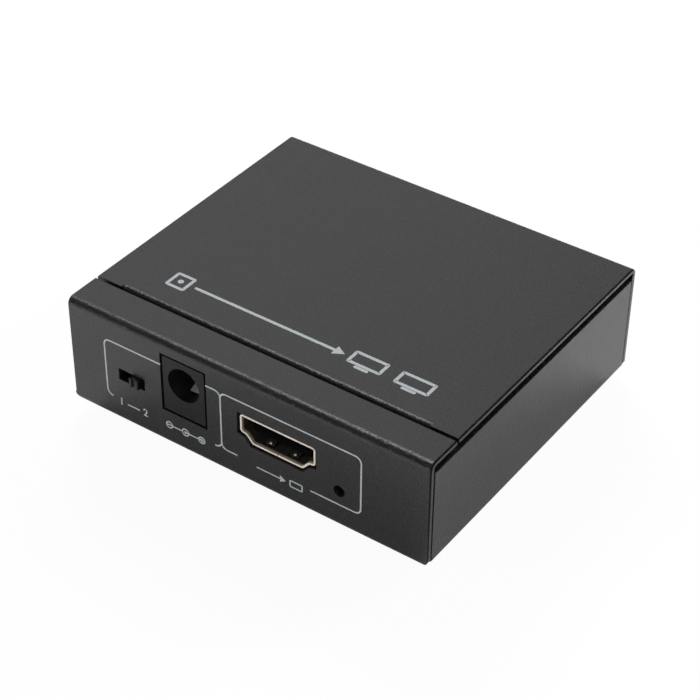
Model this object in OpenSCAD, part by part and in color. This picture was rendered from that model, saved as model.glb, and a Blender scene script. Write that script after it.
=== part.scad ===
// Two-way video signal splitter in a bent sheet-metal case.
// Millimetres, +Z up, front panel towards -Y, resting on its feet at Z = 0, centred in X and Y.

/* [Case] */
// Width across the front panel
case_w = 72; // [70:0.5:90]
// Depth from the front panel to the back panel
case_d = 63; // [61:0.5:90]
// Height of the case without its feet
case_h = 21.5; // [21:0.25:28]
// Thickness of the sheet metal
sheet_t = 1.0; // [0.8:0.05:1.2]
// Outer radius of the bends
bend_r = 1.4; // [1.3:0.1:2.2]
// Depth of the lip that folds back over the top of the front panel
lip_d = 7.2; // [6.6:0.2:9]
// Open seam between the lip and the cover
seam_gap = 0.5; // [0.3:0.05:0.9]
// Gap between the top of a side wall and the cover
wall_top_gap = 1.1; // [0.5:0.1:1.5]
// Gap where the end of a side wall butts a panel
butt_gap = 0.15; // [0.1:0.05:0.4]
// Rounding of the lower corners of the front panel
front_corner_r = 1.4; // [0.5:0.1:1.8]
// Width of the corner relief behind the bend of the front panel
relief_gap = 0.2; // [0.1:0.05:1]
// Height of the corner relief above the bend of the floor
relief_rise = 0.1; // [0.1:0.1:1]

/* [Cover] */
// How far the tucked tongue stops short of each side
tongue_inset = 5.25; // [4:0.25:10]
// How far the tongue reaches under the lip
tongue_reach = 4; // [2:0.25:4.5]
// Clearance between the tongue and the lip above it
tongue_gap = 0.15; // [0.1:0.05:0.3]
// Outer radius of the offset bend behind the seam
offset_bend_r = 1.0; // [0.6:0.1:1.2]
// Depth of the flange that returns under the board
flange_d = 6.5; // [6:0.25:8]
// Clearance between that flange and the tray floor
flange_gap = 0.1; // [0.05:0.05:0.3]
// Slit that frees each end of the flange
flange_slit = 0.6; // [0.4:0.1:1]
// Distance between the two cover screws
cover_screw_span = 32; // [20:1:40]
// Thread diameter of a cover screw
cover_screw_d = 2.5; // [2:0.1:3]
// Length of a cover screw under its head
cover_screw_l = 3.6; // [2.6:0.1:4.2]

/* [Feet] */
// Diameter of a rubber foot where it is stuck on
foot_d = 8; // [6:0.5:9]
// Thickness of a rubber foot
foot_t = 2.0; // [1.8:0.1:4]
// How much a foot narrows all round towards its sole
foot_taper = 0.4; // [0.2:0.1:0.8]
// Distance of a foot's centre from the two edges of the case
foot_inset = 7.5; // [6:0.5:9]

/* [Circuit board] */
// Thickness of the board
board_t = 1.6; // [1:0.1:1.8]
// Gap between the board and each side wall
board_side_gap = 1.5; // [0.8:0.1:2]
// Gap between the board and the front and back panels
board_end_gap = 0.8; // [0.5:0.1:1]
// Distance of a fixing hole from the side of the board
fixing_inset_x = 3.2; // [3:0.1:4]
// Distance of a front fixing hole from the front of the board
fixing_inset_y = 7.5; // [7:0.5:10]
// Room between a rear stand-off and the cover's flange
standoff_room = 0.4; // [0.2:0.1:2]
// Thread diameter of a board screw
board_screw_d = 2.5; // [2:0.1:2.8]
// Length of a board screw under its head
board_screw_l = 5; // [4:0.25:6]
// Body diameter of a stand-off
standoff_d = 5; // [4.6:0.1:5.4]
// Diameter of the stand-off shank that is pressed into the floor
standoff_shank_d = 4; // [3.8:0.1:4.2]

/* [Video sockets] */
// Centre of the input socket from the middle of the front panel
input_x = 6.95; // [6.5:0.05:8]
// Distance between the centres of the two output sockets
output_span = 25; // [21:0.5:30]
// Outer width of a socket shell
shell_w = 14.9; // [14.6:0.05:15.2]
// Outer height of a socket shell
shell_h = 5.3; // [5.1:0.05:5.5]
// Width of the flat along the bottom of a shell
shell_base_w = 10; // [9.4:0.1:10.4]
// Height of the shoulder at the side of a shell
shoulder_h = 1.7; // [1.5:0.05:1.9]
// Thickness of the shell metal
shell_t = 0.35; // [0.3:0.01:0.4]
// Depth of a shell from its mouth
shell_l = 10.8; // [10:0.1:12]
// Height of the underside of a shell above the board
shell_lift = 0.85; // [0.6:0.05:1.1]
// How far the mouth of a shell stands behind the panel's face
shell_recess = 0.3; // [0.1:0.05:0.5]
// Clearance of a panel opening around a shell
shell_clear = 0.3; // [0.2:0.01:0.4]
// Distance of a contact spring from the middle of its shell
spring_x = 2.45; // [2.3:0.05:3]
// Width of a contact spring
spring_w = 1.6; // [1.2:0.1:1.8]
// Width of the contact tongue
tongue_w = 11.4; // [11.2:0.1:11.8]
// Thickness of the contact tongue
tongue_t = 1.4; // [1.2:0.05:1.6]
// Distance of the tongue's tip behind the mouth
tongue_setback = 1.3; // [1:0.1:2]
// Spacing of the contacts in one row
contact_pitch = 1.0; // [0.9:0.02:1.06]
// Width of one contact
contact_w = 0.3; // [0.2:0.02:0.36]
// Thickness of one contact
contact_t = 0.15; // [0.1:0.01:0.18]

/* [Power jack] */
// Centre of the jack from the middle of the front panel
jack_x = -11.8; // [-12.3:0.1:-11.4]
// Width of the jack's face
jack_w = 8.6; // [8.4:0.1:9]
// Height of the jack's face above the board
jack_h = 10.9; // [10.6:0.1:11.2]
// Room between the top of the jack and the cover's tongue, which sets the height of the board
jack_room = 0.85; // [0.4:0.05:1.2]
// Depth of the jack's body
jack_l = 14; // [13.5:0.25:16]
// Diameter of the hole for the plug
jack_bore_d = 6.4; // [6:0.1:6.6]
// Height of that hole's centre above the board
jack_bore_z = 6.5; // [6.3:0.1:6.7]
// Depth of that hole
jack_bore_l = 9.6; // [9:0.1:10]
// Diameter of the centre pin
jack_pin_d = 2.0; // [1.6:0.1:2.5]
// Distance of the pin's tip behind the face
jack_pin_setback = 2.6; // [1:0.1:3]
// Clearance of the panel opening around the jack
jack_clear = 0.35; // [0.2:0.05:0.45]
// Width of the sleeve spring
sleeve_w = 2.2; // [1.8:0.1:2.4]

/* [Slide switch] */
// Centre of the switch from the middle of the front panel
switch_x = -22.9; // [-23.4:0.05:-22.3]
// Height of the lever's centre above the board
lever_z = 2.7; // [2.5:0.05:2.9]
// Width of the lever
lever_w = 1.9; // [1.6:0.05:2.2]
// Height of the lever
lever_h = 1.95; // [1.7:0.05:2.1]
// How far the lever stands out of the panel
lever_out = 0.85; // [0.6:0.05:2]
// Travel of the lever
lever_travel = 2.0; // [1.5:0.1:2.2]
// Clearance above and below the lever in the panel slot
lever_clear = 0.13; // [0.1:0.01:0.2]
// Room beside the lever at each end of the panel slot
lever_end_room = 0.75; // [0.4:0.05:0.9]
// Width of the switch frame
switch_w = 9.0; // [8.8:0.1:9.4]
// Height of the switch frame
switch_h = 4.7; // [4.5:0.05:5]
// Depth of the switch frame
switch_l = 3.9; // [3.7:0.05:4.4]
// Thickness of the switch frame metal
frame_t = 0.35; // [0.3:0.01:0.4]
// Running clearance of the slider
slider_clear = 0.2; // [0.12:0.02:0.26]
// Spacing of the switch terminals
terminal_pitch = 2.5; // [2.3:0.05:2.54]

/* [Power light] */
// Centre of the light hole from the middle of the front panel
light_x = 19.2; // [17.5:0.1:24]
// Diameter of the light hole
light_hole_d = 2.0; // [1.6:0.1:2.5]
// Height of the hole's centre above the board
light_hole_z = 0.05; // [0:0.05:0.5]

/* [Board parts] */
// Width of the square splitter chip
chip_w = 10; // [8:0.5:10.5]
// Leads along one side of the splitter chip
chip_leads = 16; // [8:1:16]
// Width of a memory chip
memory_w = 4.9; // [4.4:0.1:5.2]
// Width of the voltage regulator
regulator_w = 6.5; // [6:0.1:7]
// Width of the square inductor
inductor_w = 6; // [5:0.1:6.5]
// Height of the inductor
inductor_h = 2.8; // [2:0.1:4]
// Length of the crystal's can
crystal_l = 10.4; // [8:0.1:11]
// Diameter of a reservoir capacitor
capacitor_d = 5.8; // [5:0.1:6.3]
// Height of a reservoir capacitor above the board
capacitor_h = 5.7; // [5:0.1:7.7]

/* [Hidden] */

$fn = 48;
// Overshoot of a cut past the face that it opens
cut = 0.5;
// Radial clearance of a fastener or pin that is held by its hole
seat_clear = 0.03;
// Clearance of a wire or leg in its board hole
leg_clear = 0.2;
// How far a leg or wire stands out under the board
leg_tail = 0.9;

// Finishes
case_black = [0.13, 0.13, 0.135];
steel = [0.72, 0.72, 0.74];
pale_gold = [0.86, 0.78, 0.70];
dark_plastic = [0.10, 0.10, 0.11];
contact_gold = [0.85, 0.66, 0.30];
board_black = [0.06, 0.06, 0.065];
package_black = [0.07, 0.07, 0.08];
ferrite_grey = [0.22, 0.22, 0.24];
ceramic_tan = [0.62, 0.50, 0.38];

// Front face of the case, which centres the case and its lever in Y
front_y = -(case_d - lever_out) / 2;

// Heights above the underside of the case, the board's measured down from the tongue over the jack
floor_z = sheet_t;
tongue_top = case_h - sheet_t - tongue_gap;
board_top = tongue_top - sheet_t - jack_room - jack_h;
board_z = board_top - board_t;
board_lift = board_z - floor_z;
wall_top = case_h - sheet_t - wall_top_gap;
bend_inner_r = bend_r - sheet_t;
relief_d = bend_r + relief_gap;
mid_bend_z = bend_r * (1 - sin(45));

// Cover
cover_front = lip_d + seam_gap;
tongue_front = lip_d - tongue_reach;
flange_z = floor_z + flange_gap;
flange_half = case_w / 2 - bend_r - flange_slit;
cover_screw_y = case_d - (flange_d + bend_r) / 2;

// Pan head of a screw, as shares of the thread's diameter, and its cross recess, as shares of the head's
head_d_share = 1.8;
head_h_share = 0.56;
head_side_share = 0.2;
recess_l_share = 0.56;
recess_w_share = 0.18;

// Rounded edge of a foot's sole
foot_edge = 0.4;

// Board
board_half = case_w / 2 - sheet_t - board_side_gap;
board_front = sheet_t + board_end_gap;
board_back = case_d - sheet_t - board_end_gap;
board_mid = (board_front + board_back) / 2;
board_corner_r = 1.5;
fixing_x = board_half - fixing_inset_x;
fixing_front_y = board_front + fixing_inset_y;
fixing_back_y = case_d - flange_d - standoff_room - standoff_d / 2;
hole_z = -board_t - cut;
hole_h = board_t + 2 * cut;

// Sockets, from the mouth inwards and from the top of the board upwards
shoulder_w = 1.2;
shoulder_drop = 0.25;
shell_corner_r = 0.6;
shell_hollow_r = 0.3;
shell_seam = 0.12;
shell_leg_w = 1.0;
front_leg_y = 2.4;
back_leg_y = 8.0;
spring_front = 0.9;
spring_back = 6.2;
spring_slot = 0.3;
spring_t = 0.25;
spring_dip = 0.5;
spring_tip_l = 1.1;
spring_tip_share = 0.4;
spring_root = 0.1;
insulator_fit = 0.05;
insulator_y = shell_l - 3.6;
insulator_back = shell_l + 0.2;
tongue_drop = 0.35;
tongue_z = shell_lift + shell_h / 2 - tongue_drop;
tongue_chamfer = 0.3;
tongue_root = 0.2;
contact_rows = [10, 9];
contact_setback = tongue_setback + 0.7;
contact_drop_y = insulator_back + contact_t;
contact_foot = 1.3;
socket_end = contact_drop_y + contact_foot;

// Jack, from its face inwards
jack_setback = 0.08;
jack_flange_l = 3.5;
barrel_shoulder = 0.3;
barrel_r = jack_w / 2 - barrel_shoulder;
barrel_wall = 1.2;
jack_back_wall = 1.4;
tab_y = jack_bore_l + jack_back_wall;
tab_t = 0.4;
tab_w = 2.0;
tab_rim = 0.7;
pin_tail = 0.5;
bore_floor = jack_bore_z - jack_bore_d / 2;
sleeve_t = 0.25;
sleeve_side_clear = 0.15;
sleeve_front = 3.0;
sleeve_peak_y = 5.2;
sleeve_tail_y = 8.2;
sleeve_rise = 0.9;
sleeve_dip = 0.15;
sleeve_heel = 0.9;
sleeve_room = 0.5;
break_x = sleeve_w / 2 + sleeve_side_clear + 1.0;
break_y = 6.4;
break_l = 1.2;
break_t = 0.25;
break_drop = 0.6;
break_room = 0.3;
break_slot_w = 1.6;

// Switch, from the face of its frame inwards
switch_gap = 0.3;
switch_front = sheet_t + switch_gap;
switch_lift = lever_z - switch_h / 2;
switch_base_t = 1.2;
switch_leg_w = 1.2;
switch_leg_root = 1.0;
switch_leg_y = (switch_l - switch_leg_w) / 2;
frame_slot_room = 0.15;
slot_half = (lever_w + lever_travel) / 2 + lever_end_room;
slot_h = lever_h + 2 * lever_clear;
slider_end_room = 0.2;
slider_half = switch_w / 2 - frame_t - slider_clear - lever_travel / 2 - slider_end_room;
slider_half_h = switch_h / 2 - frame_t - slider_clear;
slider_front = frame_t + slider_clear;
slider_back = 1.75;
lever_tip = -switch_front - lever_out;
lever_root = 0.1;
lever_groove_w = 0.7;
lever_groove_d = 0.35;
head_t = 0.25;
head_w = 1.3;
head_h = 1.7;
terminal_w = 0.7;
terminal_t = 0.3;
terminal_y = switch_l + 0.6;
wiper_t = 0.15;
wiper_w = terminal_pitch + 0.8;
wiper_edge = 0.15;
wiper_pocket = 0.6;
wiper_reach = 0.3;
wiper_end = 0.3;
wiper_peak_share = 0.6;
wiper_flat_share = 0.2;

// Power light
light_setback = 0.1;
light_w = 3.0;
light_l = 1.0;
light_h = 0.8;
lens_r = 0.38;

// Leads and packages on the board
chip_lift = 0.15;
package_h = 1.4;
pin_one_cut = 0.6;
lead_t = 0.15;
lead_z = 0.8;
lead_root = 0.2;
lead_shoulder = 0.3;
lead_slope = 0.15;
lead_foot = 0.55;
part_gap = 1.5;

// Splitter chip and memory chips, their places measured from the middle of the board
chip_x = 5;
chip_y = board_mid + 1;
chip_pitch = 0.5;
chip_lead_w = 0.22;
memory_y = board_mid + 4;
memory_offset = 13.5;
memory_l = 3.9;
memory_pitch = 1.27;
memory_lead_w = 0.42;
memory_leads = 4;

// Regulator
regulator_x = -22;
regulator_y = board_mid + 5;
regulator_l = 3.5;
regulator_pitch = 2.3;
regulator_lead_w = 0.7;
regulator_lead_l = 0.75;
regulator_tab_w = 3;

// Capacitors, inductor and crystal, in one row across the board
supply_y = board_mid - 5;
capacitor_x = -26;
capacitor_base_w = capacitor_d + 0.6;
capacitor_base_h = 0.85;
capacitor_base_cut = 1.2;
capacitor_pitch = capacitor_base_w + part_gap;
can_z = capacitor_base_h + 0.05;
can_groove_z = 1.8;
can_groove_d = 0.2;
can_edge = 0.3;
inductor_x = capacitor_x + capacitor_pitch + capacitor_base_w / 2 + part_gap + inductor_w / 2;
inductor_corner_r = 1;
inductor_wall = 0.55;
inductor_gap = 0.25;
inductor_gap_d = 0.6;
drum_drop = 0.1;
crystal_x = 19;
crystal_w = 4.4;
crystal_h = 3.4;
crystal_flange = 0.3;
crystal_flange_h = 0.5;

// Small two-ended parts
ceramic_count = 5;
ceramic_pitch = 2.2;
ceramic_size = [0.8, 1.6, 0.8];
ceramic_offset = 8;
resistor_count = 8;
resistor_pitch = 1.5;
resistor_size = [0.6, 1.0, 0.4];
resistor_y = socket_end + 3.0;
surge_size = [2.5, 1.0, 0.55];
surge_pitch = 6;
surge_y = socket_end + 1.2;

// Diode on the supply line
diode_x = jack_x - 10;
diode_y = board_front + 10.5;
diode_w = 4.3;
diode_l = 2.6;
diode_h = 1.9;
diode_lead_w = 1.4;

// Unit vector along v
function unit(v) = v / norm(v);

// v turned a quarter turn to the left
function left(v) = [-v[1], v[0]];

// Item i of a closed list
function wrap(list, i) = list[(i + len(list)) % len(list)];

// Shift of the corner b between a and c that moves both of its edges inwards by 1
function miter(a, b, c) = let (n = left(unit(b - a)), m = left(unit(c - b))) (n + m) / (1 + n * m);

// Anticlockwise outline with every edge moved inwards by d
function inset(pts, d) = [
    for (i = [0:len(pts) - 1]) pts[i] + d * miter(wrap(pts, i - 1), pts[i], wrap(pts, i + 1))
];

// Points of the arc of radius r that rounds the corner b between a and c
function corner_arc(a, b, c, r, steps) =
    let (u = unit(a - b), v = unit(c - b), half = acos(u * v) / 2)
    let (centre = b + unit(u + v) * r / sin(half))
    let (from = b + u * r / tan(half) - centre, to = b + v * r / tan(half) - centre)
    let (start = atan2(from[1], from[0]), turn = atan2(to[1], to[0]) - start)
    let (sweep = turn > 180 ? turn - 360 : turn < -180 ? turn + 360 : turn)
    [for (k = [0:steps]) let (at = start + sweep * k / steps) centre + r * [cos(at), sin(at)]];

// Closed outline with its corners rounded by the radii given
function rounded(pts, radii, steps = 4) = [
    for (i = [0:len(pts) - 1])
        each corner_arc(wrap(pts, i - 1), pts[i], wrap(pts, i + 1), radii[i], steps)
];

// Rectangle of size w by h about the origin with rounded corners
function rounded_rectangle(w, h, r, steps = 4) =
    rounded([[-w / 2, -h / 2], [w / 2, -h / 2], [w / 2, h / 2], [-w / 2, h / 2]], [r, r, r, r], steps);

// Outline of a strip of thickness t about an open path
function strip(path, t) =
    let (last = len(path) - 1)
    let (before = [2 * path[0] - path[1]], after = [2 * path[last] - path[last - 1]])
    let (run = concat(before, path, after))
    let (side = [for (i = [1:last + 1]) miter(run[i - 1], run[i], run[i + 1]) * t / 2])
    concat([for (i = [0:last]) path[i] + side[i]], [for (i = [last:-1:0]) path[i] - side[i]]);

// Outer outline of a socket shell: wide at the top, with a shoulder and a slope to the flat bottom
function shell_corners() =
    let (w = shell_w / 2, base = shell_base_w / 2)
    let (neck = w - shoulder_w, slope_top = shoulder_h - shoulder_drop)
    [[-base, 0], [base, 0], [neck, slope_top], [w, shoulder_h], [w, shell_h],
     [-w, shell_h], [-w, shoulder_h], [-neck, slope_top]];

// The same outline moved inwards by d, with its corners rounded
function shell_outline(d) =
    let (r = shell_corner_r - d, hollow_r = shell_hollow_r + d)
    rounded(inset(shell_corners(), d), [r, r, hollow_r, r, r, r, r, hollow_r]);

// Height of the middle of a shell's top or bottom wall
function shell_wall_z(top) = shell_lift + (top ? shell_h - shell_t / 2 : shell_t / 2);

// Places the case's own frame: Y from the front face, Z from the underside
module in_case() translate([0, front_y, foot_t]) children();

// Places parts that sit on the board: Z from its top
module on_board(x, y) in_case() translate([x, y, board_top]) children();

// Extrudes a (Y, Z) outline along X, centred
module along_x(w) rotate([90, 0, 90]) linear_extrude(w, center = true) children();

// Extrudes an (X, Z) outline along Y from the origin
module along_y(l) translate([0, l, 0]) rotate([90, 0, 0]) linear_extrude(l) children();

// Box centred in X, starting at Y and Z
module block(w, y, l, z, h) translate([-w / 2, y, z]) cube([w, l, h]);

// Round bar along Y
module bar_y(d, y, l) translate([0, y, 0]) rotate([-90, 0, 0]) cylinder(d = d, h = l);

// Quarter of a bend about its centre, turned into place
module quarter_bend(turn, outer = bend_r, inner = bend_inner_r)
    rotate(turn) intersection() {
        difference() {
            circle(outer);
            if (inner > 0) circle(inner);
        }
        square(outer);
    }

// Copies to the four fixing points of the board
module at_fixings()
    for (x = [-fixing_x, fixing_x], y = [fixing_front_y, fixing_back_y]) translate([x, y, 0]) children();

// Copies to the two cover screws
module at_cover_screws()
    for (side = [-1, 1]) translate([side * cover_screw_span / 2, cover_screw_y, 0]) children();

// Places a socket with its mouth at the front or at the back
module at_input() on_board(input_x, shell_recess) children();
module at_output(side) on_board(side * output_span / 2, case_d - shell_recess) rotate(180) children();

// Places the jack and the switch
module at_jack() on_board(jack_x, jack_setback) children();
module at_switch() on_board(switch_x, switch_front) children();

// Front panel, lip and the bends above and below them
module front_section() {
    translate([bend_r, bend_r]) quarter_bend(180);
    translate([0, bend_r]) square([sheet_t, case_h - 2 * bend_r]);
    translate([bend_r, case_h - bend_r]) quarter_bend(90);
    translate([bend_r, case_h - sheet_t]) square([lip_d - bend_r, sheet_t]);
}

// Floor and side walls
module wall_section() {
    flat = case_w / 2 - bend_r;
    translate([-flat, 0]) square([2 * flat, sheet_t]);
    for (side = [0, 1]) mirror([side, 0]) {
        translate([flat, bend_r]) quarter_bend(270);
        translate([case_w / 2 - sheet_t, bend_r]) square([sheet_t, wall_top - bend_r]);
    }
}

// Opening for a socket through a panel, from the middle of the panel's thickness
module socket_opening() translate([0, -sheet_t / 2 - cut, shell_lift]) along_y(sheet_t + 2 * cut)
    polygon(inset(shell_corners(), -shell_clear));

// Openings of the front panel
module front_openings() {
    through = sheet_t + 2 * cut;
    on_board(input_x, sheet_t / 2) socket_opening();
    on_board(jack_x, 0) block(jack_w + 2 * jack_clear, -cut, through, -jack_clear, jack_h + 2 * jack_clear);
    on_board(switch_x, 0) block(2 * slot_half, -cut, through, lever_z - slot_h / 2, slot_h);
    on_board(light_x, 0) translate([0, 0, light_hole_z]) bar_y(light_hole_d, -cut, through);
}

// Cut that rounds the right-hand lower corner of the front panel, down to the middle of the bend
module front_corner_cut() translate([case_w / 2 - front_corner_r, 0, 0]) difference() {
    corner_z = mid_bend_z + front_corner_r;
    translate([0, -cut, -cut]) cube([front_corner_r + cut, relief_d + cut, corner_z + cut]);
    translate([0, 0, corner_z]) bar_y(2 * front_corner_r, -2 * cut, relief_d + 4 * cut);
}

// Tray: front panel with its lip, floor and two side walls, bent from one blank
module base_tray() color(case_black) difference() {
    in_case() {
        floor_w = case_w - 2 * bend_r;
        wall_start = sheet_t + butt_gap;
        wall_end = case_d - sheet_t - butt_gap;
        relief_h = bend_r + relief_rise;
        along_x(case_w) front_section();
        block(floor_w, bend_r, relief_d - bend_r, 0, sheet_t);
        translate([0, relief_d, 0]) along_y(wall_end - relief_d) wall_section();
        block(floor_w, wall_end, case_d - wall_end, 0, sheet_t);
        for (side = [-1, 1]) translate([side * (case_w - sheet_t) / 2, 0, 0])
            block(sheet_t, wall_start, relief_d - wall_start, relief_h, wall_top - relief_h);
    }
    front_openings();
    in_case() for (side = [0, 1]) mirror([side, 0, 0]) front_corner_cut();
    in_case() translate([0, 0, -cut]) {
        at_fixings() cylinder(d = standoff_shank_d + 2 * seat_clear, h = sheet_t + 2 * cut);
        at_cover_screws() cylinder(d = cover_screw_d + 2 * leg_clear, h = sheet_t + 2 * cut);
    }
}

// Step of the cover that dips under the lip
module tongue_section() {
    under = tongue_top - sheet_t;
    heel = cover_front + sheet_t - offset_bend_r;
    translate([cover_front + offset_bend_r, case_h - offset_bend_r]) quarter_bend(90, offset_bend_r, 0);
    translate([cover_front, tongue_top]) square([offset_bend_r, case_h - offset_bend_r - tongue_top]);
    translate([heel, under + offset_bend_r]) {
        quarter_bend(270, offset_bend_r, 0);
        square([offset_bend_r, case_h - sheet_t - under - offset_bend_r]);
    }
    translate([tongue_front, under]) square([heel - tongue_front, sheet_t]);
}

// Cover: top with its tucked tongue, back panel and the flange that takes the screws
module top_cover() color(case_black) difference() {
    in_case() {
        top_start = cover_front + offset_bend_r;
        along_x(case_w) {
            translate([top_start, case_h - sheet_t]) square([case_d - bend_r - top_start, sheet_t]);
            translate([case_d - bend_r, case_h - bend_r]) quarter_bend(0);
            translate([case_d - sheet_t, flange_z + bend_r])
                square([sheet_t, case_h - flange_z - 2 * bend_r]);
        }
        along_x(case_w - 2 * tongue_inset) tongue_section();
        for (side = [-1, 1]) {
            translate([side * (case_w - tongue_inset) / 2, 0, 0])
                block(tongue_inset, cover_front, offset_bend_r, case_h - sheet_t, sheet_t);
            translate([side * (case_w - bend_r) / 2, 0, 0])
                block(bend_r, case_d - sheet_t, sheet_t, flange_z, bend_r);
        }
        along_x(2 * flange_half) {
            translate([case_d - bend_r, flange_z + bend_r]) quarter_bend(270);
            translate([case_d - flange_d, flange_z]) square([flange_d - bend_r, sheet_t]);
        }
    }
    for (side = [-1, 1]) on_board(side * output_span / 2, case_d - sheet_t / 2) socket_opening();
    in_case() at_cover_screws() translate([0, 0, flange_z - cut])
        cylinder(d = cover_screw_d + 2 * seat_clear, h = sheet_t + 2 * cut);
}

// Pan-headed screw with a cross recess, its head resting at Z = 0 and its shank below
module pan_screw(d, l) {
    head_d = d * head_d_share;
    head_h = d * head_h_share;
    dome_h = head_h - d * head_side_share;
    dome_r = (pow(head_d / 2, 2) + pow(dome_h, 2)) / (2 * dome_h);
    translate([0, 0, -l]) cylinder(d = d, h = l);
    difference() {
        intersection() {
            cylinder(d = head_d, h = head_h);
            translate([0, 0, head_h - dome_r]) sphere(dome_r);
        }
        for (turn = [0, 90]) rotate(turn) translate([0, 0, head_h])
            cube([head_d * recess_l_share, head_d * recess_w_share, head_h], center = true);
    }
}

// Screws through the floor into the cover's flange
module cover_screws() color(steel) in_case() at_cover_screws() mirror([0, 0, 1])
    pan_screw(cover_screw_d, cover_screw_l);

// Stick-on feet, narrower at the sole
module rubber_feet() color(package_black) in_case() translate([0, 0, -foot_t]) {
    sole_r = foot_d / 2 - foot_taper;
    across = case_w / 2 - foot_inset;
    for (x = [-across, across], y = [foot_inset, case_d - foot_inset]) translate([x, y, 0])
        rotate_extrude() polygon([[0, 0], [sole_r - foot_edge, 0], [sole_r, foot_edge],
                                  [foot_d / 2, foot_t], [0, foot_t]]);
}

// Board holes for the four legs of a socket
module socket_leg_holes()
    for (side = [-1, 1], y = [front_leg_y, back_leg_y]) translate([side * (shell_w - shell_t) / 2, 0, 0])
        block(shell_t + 2 * leg_clear, y - leg_clear, shell_leg_w + 2 * leg_clear, hole_z, hole_h);

// Board holes for the tab and springs of the jack
module jack_leg_holes() {
    block(tab_w + 2 * leg_clear, tab_y - leg_clear, tab_t + 2 * leg_clear, hole_z, hole_h);
    block(sleeve_w + 2 * leg_clear, sleeve_tail_y - sleeve_t / 2 - leg_clear, sleeve_t + 2 * leg_clear,
          hole_z, hole_h);
    translate([break_x, 0, 0])
        block(break_t + 2 * leg_clear, break_y - leg_clear, break_l + 2 * leg_clear, hole_z, hole_h);
}

// Board holes for the frame legs and terminals of the switch
module switch_leg_holes() {
    for (side = [-1, 1]) translate([side * (switch_w - frame_t) / 2, 0, 0])
        block(frame_t + 2 * leg_clear, switch_leg_y - leg_clear, switch_leg_w + 2 * leg_clear,
              hole_z, hole_h);
    for (i = [-1:1]) translate([i * terminal_pitch, 0, 0])
        block(terminal_w + 2 * leg_clear, terminal_y - terminal_t / 2 - leg_clear, terminal_t + 2 * leg_clear,
              hole_z, hole_h);
}

// Board with its fixing holes and the holes for legs and wires
module circuit_board() color(board_black) difference() {
    in_case() translate([0, board_mid, board_z]) linear_extrude(board_t)
        polygon(rounded_rectangle(2 * board_half, board_back - board_front, board_corner_r));
    in_case() at_fixings() translate([0, 0, board_z - cut])
        cylinder(d = board_screw_d + 2 * leg_clear, h = hole_h);
    at_input() socket_leg_holes();
    for (side = [-1, 1]) at_output(side) socket_leg_holes();
    at_jack() jack_leg_holes();
    at_switch() switch_leg_holes();
}

// Threaded stand-offs pressed into the floor
module board_standoffs() color(steel) in_case() at_fixings() difference() {
    union() {
        cylinder(d = standoff_shank_d, h = floor_z + board_lift / 2);
        translate([0, 0, floor_z]) cylinder(d = standoff_d, h = board_lift);
    }
    translate([0, 0, -cut]) cylinder(d = board_screw_d + 2 * seat_clear, h = board_z + 2 * cut);
}

// Screws that hold the board down on the stand-offs
module board_screws() color(steel) in_case() at_fixings() translate([0, 0, board_top])
    pan_screw(board_screw_d, board_screw_l);

// Copies to the four contact springs of a shell, with the way in which each one bends
module at_springs() for (side = [-1, 1], top = [true, false]) {
    $inwards = top ? -1 : 1;
    translate([side * spring_x, 0, shell_wall_z(top)]) children();
}

// Contact spring: bends inwards from its root and turns out again at its tip
module shell_spring() {
    tip = spring_front + spring_slot;
    dip = $inwards * spring_dip;
    along_x(spring_w) polygon(strip([[spring_back + spring_root, 0], [tip + spring_tip_l, dip],
                                     [tip, dip * spring_tip_share]], spring_t));
}

// Folded shell of a socket, with its seam, contact springs and four board legs
module socket_shell() color(pale_gold) {
    difference() {
        translate([0, 0, shell_lift]) along_y(shell_l) difference() {
            polygon(shell_outline(0));
            polygon(shell_outline(shell_t));
        }
        block(shell_seam, -cut, shell_l + 2 * cut, shell_lift - shell_t, 2.5 * shell_t);
        at_springs()
            block(spring_w + 2 * spring_slot, spring_front, spring_back - spring_front,
                  -shell_t, 2 * shell_t);
    }
    at_springs() shell_spring();
    for (side = [-1, 1], y = [front_leg_y, back_leg_y]) translate([side * (shell_w - shell_t) / 2, 0, 0])
        block(shell_t, y, shell_leg_w, -board_t - leg_tail,
              shell_lift + shoulder_h + shell_corner_r + board_t + leg_tail);
}

// Moulded block at the back of a socket and the tongue that carries the contacts
module socket_insulator() color(dark_plastic) {
    row_w = contact_pitch * contact_rows[0];
    half = tongue_t / 2;
    difference() {
        translate([0, insulator_y, shell_lift]) along_y(insulator_back - insulator_y)
            polygon(shell_outline(shell_t + insulator_fit));
        for (z = [tongue_z - half - contact_t - insulator_fit, tongue_z + half])
            block(row_w, insulator_y - cut, insulator_back - insulator_y + 2 * cut,
                  z, contact_t + insulator_fit);
    }
    translate([0, tongue_setback, tongue_z]) along_x(tongue_w) {
        root = insulator_y + tongue_root - tongue_setback;
        polygon([[0, tongue_chamfer - half], [tongue_chamfer, -half], [root, -half],
                 [root, half], [tongue_chamfer, half], [0, half - tongue_chamfer]]);
    }
}

// One contact: along the tongue, down behind the block and out along the board
module socket_contact(upper) {
    z = tongue_z + (upper ? 1 : -1) * (tongue_t + contact_t) / 2;
    foot_z = contact_t / 2;
    along_x(contact_w) polygon(strip([[contact_setback, z], [contact_drop_y, z], [contact_drop_y, foot_z],
                                      [socket_end, foot_z]], contact_t));
}

// Nineteen contacts in two staggered rows
module socket_contacts() color(contact_gold)
    for (row = [0, 1], i = [0:contact_rows[row] - 1])
        translate([(i - (contact_rows[row] - 1) / 2) * contact_pitch, 0, 0]) socket_contact(row == 0);

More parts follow.
